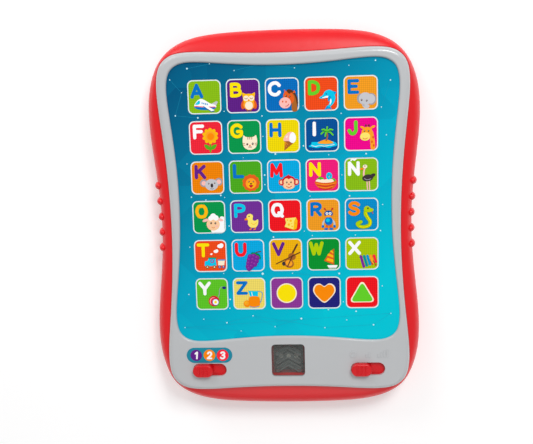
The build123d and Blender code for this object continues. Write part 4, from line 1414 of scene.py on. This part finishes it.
KEY_FACES = (
    KeyFace("key_a", Ink.LIME, "airplane", "A", Ink.BLUE),
    KeyFace("key_b", Ink.VIOLET, "owl", "B", Ink.YELLOW),
    KeyFace("key_c", Ink.BLUE, "horse", "C"),
    KeyFace("key_d", Ink.SCARLET, "dolphin", "D", Ink.SPRING),
    KeyFace("key_e", Ink.AMBER, "elephant", "E", Ink.BLUE),
    KeyFace("key_f", Ink.TOMATO, "sunflower", "F"),
    KeyFace("key_g", Ink.EMERALD, "cat", "G", Ink.YELLOW),
    KeyFace("key_h", Ink.YELLOW, "ice_cream", "H", Ink.BLUE),
    KeyFace("key_i", Ink.COBALT, "island", "I"),
    KeyFace("key_j", Ink.MAGENTA, "giraffe", "J", Ink.SPRING),
    KeyFace("key_k", Ink.ORANGE, "koala", "K", Ink.VIOLET),
    KeyFace("key_l", Ink.GRASS, "lion", "L", Ink.BLUE),
    KeyFace("key_m", Ink.SKY, "monkey", "M", Ink.RED),
    KeyFace("key_n", Ink.ROSE, "nest", "N", Ink.YELLOW),
    KeyFace("key_enye", Ink.LIME, "ostrich", "N"),
    KeyFace("key_o", Ink.EMERALD, "sheep", "O", Ink.GOLD),
    KeyFace("key_p", Ink.PURPLE, "duck", "P", Ink.CYAN),
    KeyFace("key_q", Ink.RED, "cheese", "Q"),
    KeyFace("key_r", Ink.AMBER, "robot", "R", Ink.BLUE),
    KeyFace("key_s", Ink.AZURE, "snake", "S", Ink.ORANGE),
    KeyFace("key_t", Ink.SCARLET, "train", "T", Ink.YELLOW),
    KeyFace("key_u", Ink.SKY, "grapes", "U", Ink.RED),
    KeyFace("key_v", Ink.GOLD, "violin", "V", Ink.VIOLET),
    KeyFace("key_w", Ink.GREEN, "sailboat", "W", Ink.CHARTREUSE),
    KeyFace("key_x", Ink.CHARTREUSE, "xylophone", "X"),
    KeyFace("key_y", Ink.SPRING, "yo_yo", "Y"),
    KeyFace("key_z", Ink.LEMON, "juice", "Z", Ink.BLUE),
    KeyFace("key_circle", Ink.ORCHID, "disc"),
    KeyFace("key_heart", Ink.NAVY, "heart"),
    KeyFace("key_triangle", Ink.RED, "triangle"),
)


def top_middle(node: str) -> Vector:
    """The middle of a node's top, in metres."""
    low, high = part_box(node)
    return Vector(((low.x + high.x) / 2, (low.y + high.y) / 2, high.z))


@dataclass
class Keypad:
    """The printed faces of the thirty keys."""

    field_half: float = 9.75
    field_corner: float = 2.8
    lettering: Lettering = Lettering()
    tilde: tuple[Point, ...] = ((-6.2, 9.0), (-5.3, 9.6), (-4.3, 9.1), (-3.3, 9.7))
    tilde_width: float = 1.0

    def build(self, finish: bpy.types.Material) -> None:
        """Print every key.

        Args:
            finish: The ink material.
        """
        half = self.field_half
        square = [(-half, -half), (half, -half), (half, half), (-half, half)]
        for face in KEY_FACES:
            art = Artwork(top_middle(face.node))
            art.patch(face.fill, square, soft=False, corner=self.field_corner, hatch=1.0)
            if face.letter:
                self.lettering.write(art, face.letter, face.ink)
            if face.node == "key_enye":
                art.line(face.ink, self.tilde_width, list(self.tilde))
            getattr(Pictures(art), face.drawing)()
            art.piece(f"{face.node}_print", face.node, finish)


@dataclass
class ModeLabel:
    """The numbered spots on the mode label."""

    spots: tuple[tuple[str, Ink], ...] = (("1", Ink.VIOLET), ("2", Ink.ORANGE), ("3", Ink.TOMATO))
    pitch: float = 8.6
    radius: float = 3.85
    figure_wide: float = 3.0
    figure_tall: float = 4.1
    weight: float = 1.15
    slant: float = 0.12

    def build(self, finish: bpy.types.Material) -> None:
        """Print the spots and their figures.

        Args:
            finish: The ink material.
        """
        art = Artwork(top_middle("mode_label"))
        for place, (figure, ink) in enumerate(self.spots):
            x = (place - 1) * self.pitch
            art.oval(ink, x, 0, self.radius)
            low = (x - self.figure_wide / 2, -self.figure_tall / 2)
            Lettering(low, self.figure_wide, self.figure_tall, self.weight, self.slant).write(
                art, figure, Ink.WHITE
            )
        art.piece("mode_label_print", "root", finish)


@dataclass
class FilmArt:
    """Stars and thin star-map lines on the film between the keys."""

    stars: tuple[tuple[float, float, float], ...] = (
        (-58, 98.5, 0.5), (-44, 101, 0.35), (-29, 96.5, 0.3), (-13, 99.8, 0.45), (8, 97, 0.3),
        (25, 100.5, 0.35), (41, 97.5, 0.3), (57, 100, 0.45), (-69, 92, 0.35), (-62, 84, 0.3),
        (-66.5, 70, 0.4), (-52.5, 68.4, 0.5), (-36, 72, 0.3), (-12.6, 68.5, 0.4), (12.8, 74, 0.25),
        (36, 68.8, 0.35), (60.5, 72, 0.35), (66, 88, 0.4), (-41, 45.5, 0.35), (-25, 43.2, 0.25),
        (-5, 45, 0.6), (12.5, 49.5, 0.45), (28, 43.6, 0.3), (51, 43.8, 0.5), (63.5, 55, 0.35),
        (-60.5, 40, 0.35), (-12, 32, 0.5), (-12, 26, 0.35), (13.6, 41.6, 0.35), (36, 31, 0.3),
        (-58.6, 19, 0.4), (-49.5, 17, 0.4), (-40, 19.8, 0.5), (-37.6, 18.4, 0.3),
        (-10.7, 15.6, 0.5), (16, 18.2, 0.3), (40.6, 17.8, 0.5), (61, 12, 0.35), (-35.4, 0.2, 0.4),
        (12, -4, 0.3), (59.6, -4.4, 0.45), (-61, -13, 0.35), (-7.5, -7.4, 0.5), (17, -6.8, 0.3),
        (44, -7, 0.35), (-15, -31, 0.75), (-40, -30.5, 0.3), (4, -31, 0.3), (33.6, -31.6, 0.6),
        (51, -33, 0.6), (24.4, -33.4, 0.4), (-36.4, -47.6, 0.5), (-36.8, -53.4, 0.35),
        (36, -50, 0.3), (-63, -44, 0.4), (60.6, -40, 0.35), (26.4, -55, 0.4), (44, -56.4, 0.5),
        (-54, -60.5, 0.35), (-39, -63, 0.5), (-22, -58.6, 0.4), (-8, -66, 0.35), (9, -60.8, 0.6),
        (24, -67, 0.4), (38, -62, 0.35), (55, -65.4, 0.5), (66, -58, 0.35), (-66.5, -66, 0.35),
        (-30, -68.6, 0.3), (70, 97, 0.4), (-12.4, 56, 0.3),
    )
    threads: tuple[tuple[int, ...], ...] = (
        (0, 1, 3, 5, 7), (2, 3, 4), (8, 9, 10, 11), (16, 17), (18, 20, 23), (21, 28),
        (30, 32, 34, 36), (44, 45, 46), (47, 50, 52, 53), (52, 54), (60, 61, 62),
        (58, 59, 60, 63, 65), (65, 66, 67, 68), (68, 69),
    )
    thread_width: float = 0.12
    thread_steps: int = 40
    key_boxes: list[tuple[Vector, Vector]] = field(default_factory=list)

    def build(self, finish: bpy.types.Material) -> None:
        """Draw the lines, then the stars over them.

        Args:
            finish: The ink material.
        """
        self.key_boxes = [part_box(face.node) for face in KEY_FACES]
        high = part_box("overlay_film")[1].z
        art = Artwork(Vector((0, 0, high)))
        for thread in self.threads:
            points = [self.stars[number][:2] for number in thread]
            for place, (start, end) in enumerate(zip(points, points[1:])):
                if not self.crosses_key(start, end):
                    art.line(Ink.THREAD, self.thread_width, [start, end], False)
        for x, y, size in self.stars:
            if not self.near_key(x, y, size):
                art.oval(Ink.STAR, x, y, size)
        art.piece("film_print", "root", finish)

    def near_key(self, x: float, y: float, room: float) -> bool:
        """Tell whether a spot would run onto a key.

        Args:
            x: The spot's place to the right.
            y: The spot's place upwards.
            room: The space that it needs.

        Returns:
            True if a key is closer than that.
        """
        return any(
            low.x / MM - room < x < high.x / MM + room
            and low.y / MM - room < y < high.y / MM + room
            for low, high in self.key_boxes
        )

    def crosses_key(self, start: Point, end: Point) -> bool:
        """Tell whether a line would run over a key.

        Args:
            start: One end.
            end: The other end.

        Returns:
            True if any part of it does.
        """
        steps = self.thread_steps
        marks = (Vector(start).lerp(Vector(end), step / steps) for step in range(steps + 1))
        return any(self.near_key(mark.x, mark.y, self.thread_width) for mark in marks)


@dataclass(frozen=True)
class Lamp:
    """A soft square light that faces the tablet."""

    name: str
    place: Place
    side: float
    power: float

    def hang(self) -> None:
        """Hang the light."""
        data = bpy.data.lights.new(self.name, "AREA")
        data.energy = self.power
        data.size = self.side
        thing = bpy.data.objects.new(self.name, data)
        bpy.context.scene.collection.objects.link(thing)
        aim = Vector(self.place).to_track_quat("Z", "Y")
        thing.matrix_world = Matrix.Translation(self.place) @ aim.to_matrix().to_4x4()


@dataclass
class Studio:
    """The camera, the pale floor and the soft lights."""

    eye: Place = (0.0158, 0.0741, 0.4839)
    right: Place = (0.9981, -0.0274, -0.0553)
    up: Place = (0.0185, 0.9877, -0.1552)
    lens: float = 50.0
    sensor: float = 36.0
    nearest: float = 0.01
    floor_half: float = 3.0
    floor_gap: float = 0.02 * MM
    floor_colour: str = "F4F4F4"
    floor_shade: str = "FAFAFA"
    floor_flow: float = 0.4
    floor_roughness: float = 0.8
    floor_glow: float = 0.2
    sky: float = 0.42
    lamps: tuple[Lamp, ...] = (
        Lamp("key_light", (0.4, 0.85, 1.05), 0.45, 9.5),
        Lamp("fill_light", (-0.6, 0.9, 0.6), 0.5, 3.5),
        Lamp("back_light", (0.1, -1.0, 0.9), 0.9, 2.5),
    )

    def build(self) -> None:
        """Set the whole stage."""
        self.camera()
        self.floor()
        self.world()
        for lamp in self.lamps:
            lamp.hang()

    def camera(self) -> None:
        """Put the camera at the viewing angle."""
        data = bpy.data.cameras.new("camera")
        data.lens = self.lens
        data.sensor_width = self.sensor
        data.clip_start = self.nearest
        thing = bpy.data.objects.new("camera", data)
        bpy.context.scene.collection.objects.link(thing)
        right = Vector(self.right).normalized()
        up = (Vector(self.up) - right * right.dot(Vector(self.up))).normalized()
        turn = Matrix((right, up, right.cross(up))).transposed().to_4x4()
        thing.matrix_world = Matrix.Translation(self.eye) @ turn
        bpy.context.scene.camera = thing

    def floor(self) -> None:
        """Lay the pale floor just under the case."""
        mesh = bmesh.new()
        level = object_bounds()[0][2] - self.floor_gap
        bmesh.ops.create_grid(
            mesh,
            x_segments=1,
            y_segments=1,
            size=self.floor_half,
            matrix=Matrix.Translation((0, 0, level)),
        )
        data = bpy.data.meshes.new("floor")
        mesh.to_mesh(data)
        mesh.free()
        recipe = Recipe("pale_floor")
        flow = recipe.cloud(self.floor_flow)
        tone = recipe.between(flow, linear(self.floor_colour), linear(self.floor_shade))
        recipe.set(
            Base_Color=tone,
            Roughness=self.floor_roughness,
            Emission_Color=tone,
            Emission_Strength=self.floor_glow,
        )
        data.materials.append(recipe.material)
        thing = bpy.data.objects.new("floor", data)
        bpy.context.scene.collection.objects.link(thing)
        thing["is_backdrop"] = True

    def world(self) -> None:
        """Fill the room with even white light."""
        world = bpy.data.worlds.new("room")
        world.use_nodes = True
        back = world.node_tree.nodes["Background"]
        back.inputs["Color"].default_value = (1.0, 1.0, 1.0, 1.0)
        back.inputs["Strength"].default_value = self.sky
        bpy.context.scene.world = world
        bpy.context.scene.view_settings.view_transform = "Standard"


@dataclass
class Wardrobe:
    """The finish of every material slot."""

    finishes: dict[str, object] = field(
        default_factory=lambda: {
            "red_case": MouldedPlastic(
                "red_case", "EC0816", "E20614", 0.34, coat=0.06, coat_roughness=0.12
            ),
            "grey_bezel": MouldedPlastic(
                "grey_bezel", "C2C4C6", "BEC0C2", 0.2, grain_depth=0.001 * MM
            ),
            "printed_film": PrintedFilm(),
            "printed_key": MouldedPlastic(
                "key_rim", "EAF6F8", "E2F0F4", 0.22, grain_depth=0.001 * MM
            ),
            "support_plastic": MouldedPlastic("support_plastic", "E0E0DC", "D8D8D4", 0.5),
            "silicone": MouldedPlastic("silicone", "D8DADC", "CCD0D2", 0.55),
            "circuit_board": CircuitBoard("circuit_board", "1E6E3C", "3C9650"),
            "dark_board": CircuitBoard("dark_board", "1C2420", "34403A"),
            "flex": MouldedPlastic("flex", "C8B48C", "BEA878", 0.4),
            "wire": MouldedPlastic("wire", "C8202A", "BE1A24", 0.45),
            "speaker_steel": Metal("speaker_steel", "B4B4B0", 0.35),
            "speaker_paper": MouldedPlastic(
                "speaker_paper", "2A2A2C", "323234", 0.85, grain_depth=0.02 * MM
            ),
            "magnet": Metal("magnet", "787878", 0.45),
            "clear_window": ClearPlastic("clear_window", "788280", 0.03, 0.12),
            "clear_guide": ClearPlastic("clear_guide", "A0A4A0", 0.15, 0.16, 0.8),
            "led": ClearPlastic("led", "F6F2E0", 0.15, 0.8),
            "label": MouldedPlastic("label", "008CA0", "0082A0", 0.25, grain_depth=0.001 * MM),
            "knob_red": MouldedPlastic("knob_red", "DC0414", "D40210", 0.28),
            "switch_body": MouldedPlastic("switch_body", "28282A", "2E2E30", 0.5),
            "screw_steel": Metal("screw_steel", "C0C0BC", 0.3),
            "contact_metal": Metal("contact_metal", "D2CDB9", 0.25),
            "cell_jacket": MouldedPlastic("cell_jacket", "2E4C8C", "2A4682", 0.3),
        },
    )
    made: dict[str, bpy.types.Material] = field(default_factory=dict)

    def dress(self, frame: dict) -> None:
        """Give every node of the part its finish.

        Args:
            frame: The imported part.
        """
        for row in frame["record"]["subparts"]:
            node, slot = row["node"], row["material_slot"]
            if slot not in self.made:
                self.made[slot] = self.finishes[slot].material()
            data = frame["nodes"][node].data
            data.materials.clear()
            data.materials.append(self.made[slot])
            LOG.info("%s: %s", node, slot)


def corners() -> list[list[float]]:
    """The whole model's lowest and highest corner as plain numbers."""
    return [[float(value) for value in corner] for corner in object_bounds()]


def main() -> None:
    """Dress the tablet, print its keys and set the stage."""
    logging.basicConfig(level=logging.INFO, format="%(name)s %(message)s")
    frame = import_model()
    Studio().build()
    Wardrobe().dress(frame)
    ink = KeyInk().material()
    Keypad().build(ink)
    ModeLabel().build(ink)
    FilmArt().build(ink)


if __name__ == "__main__":
    main()
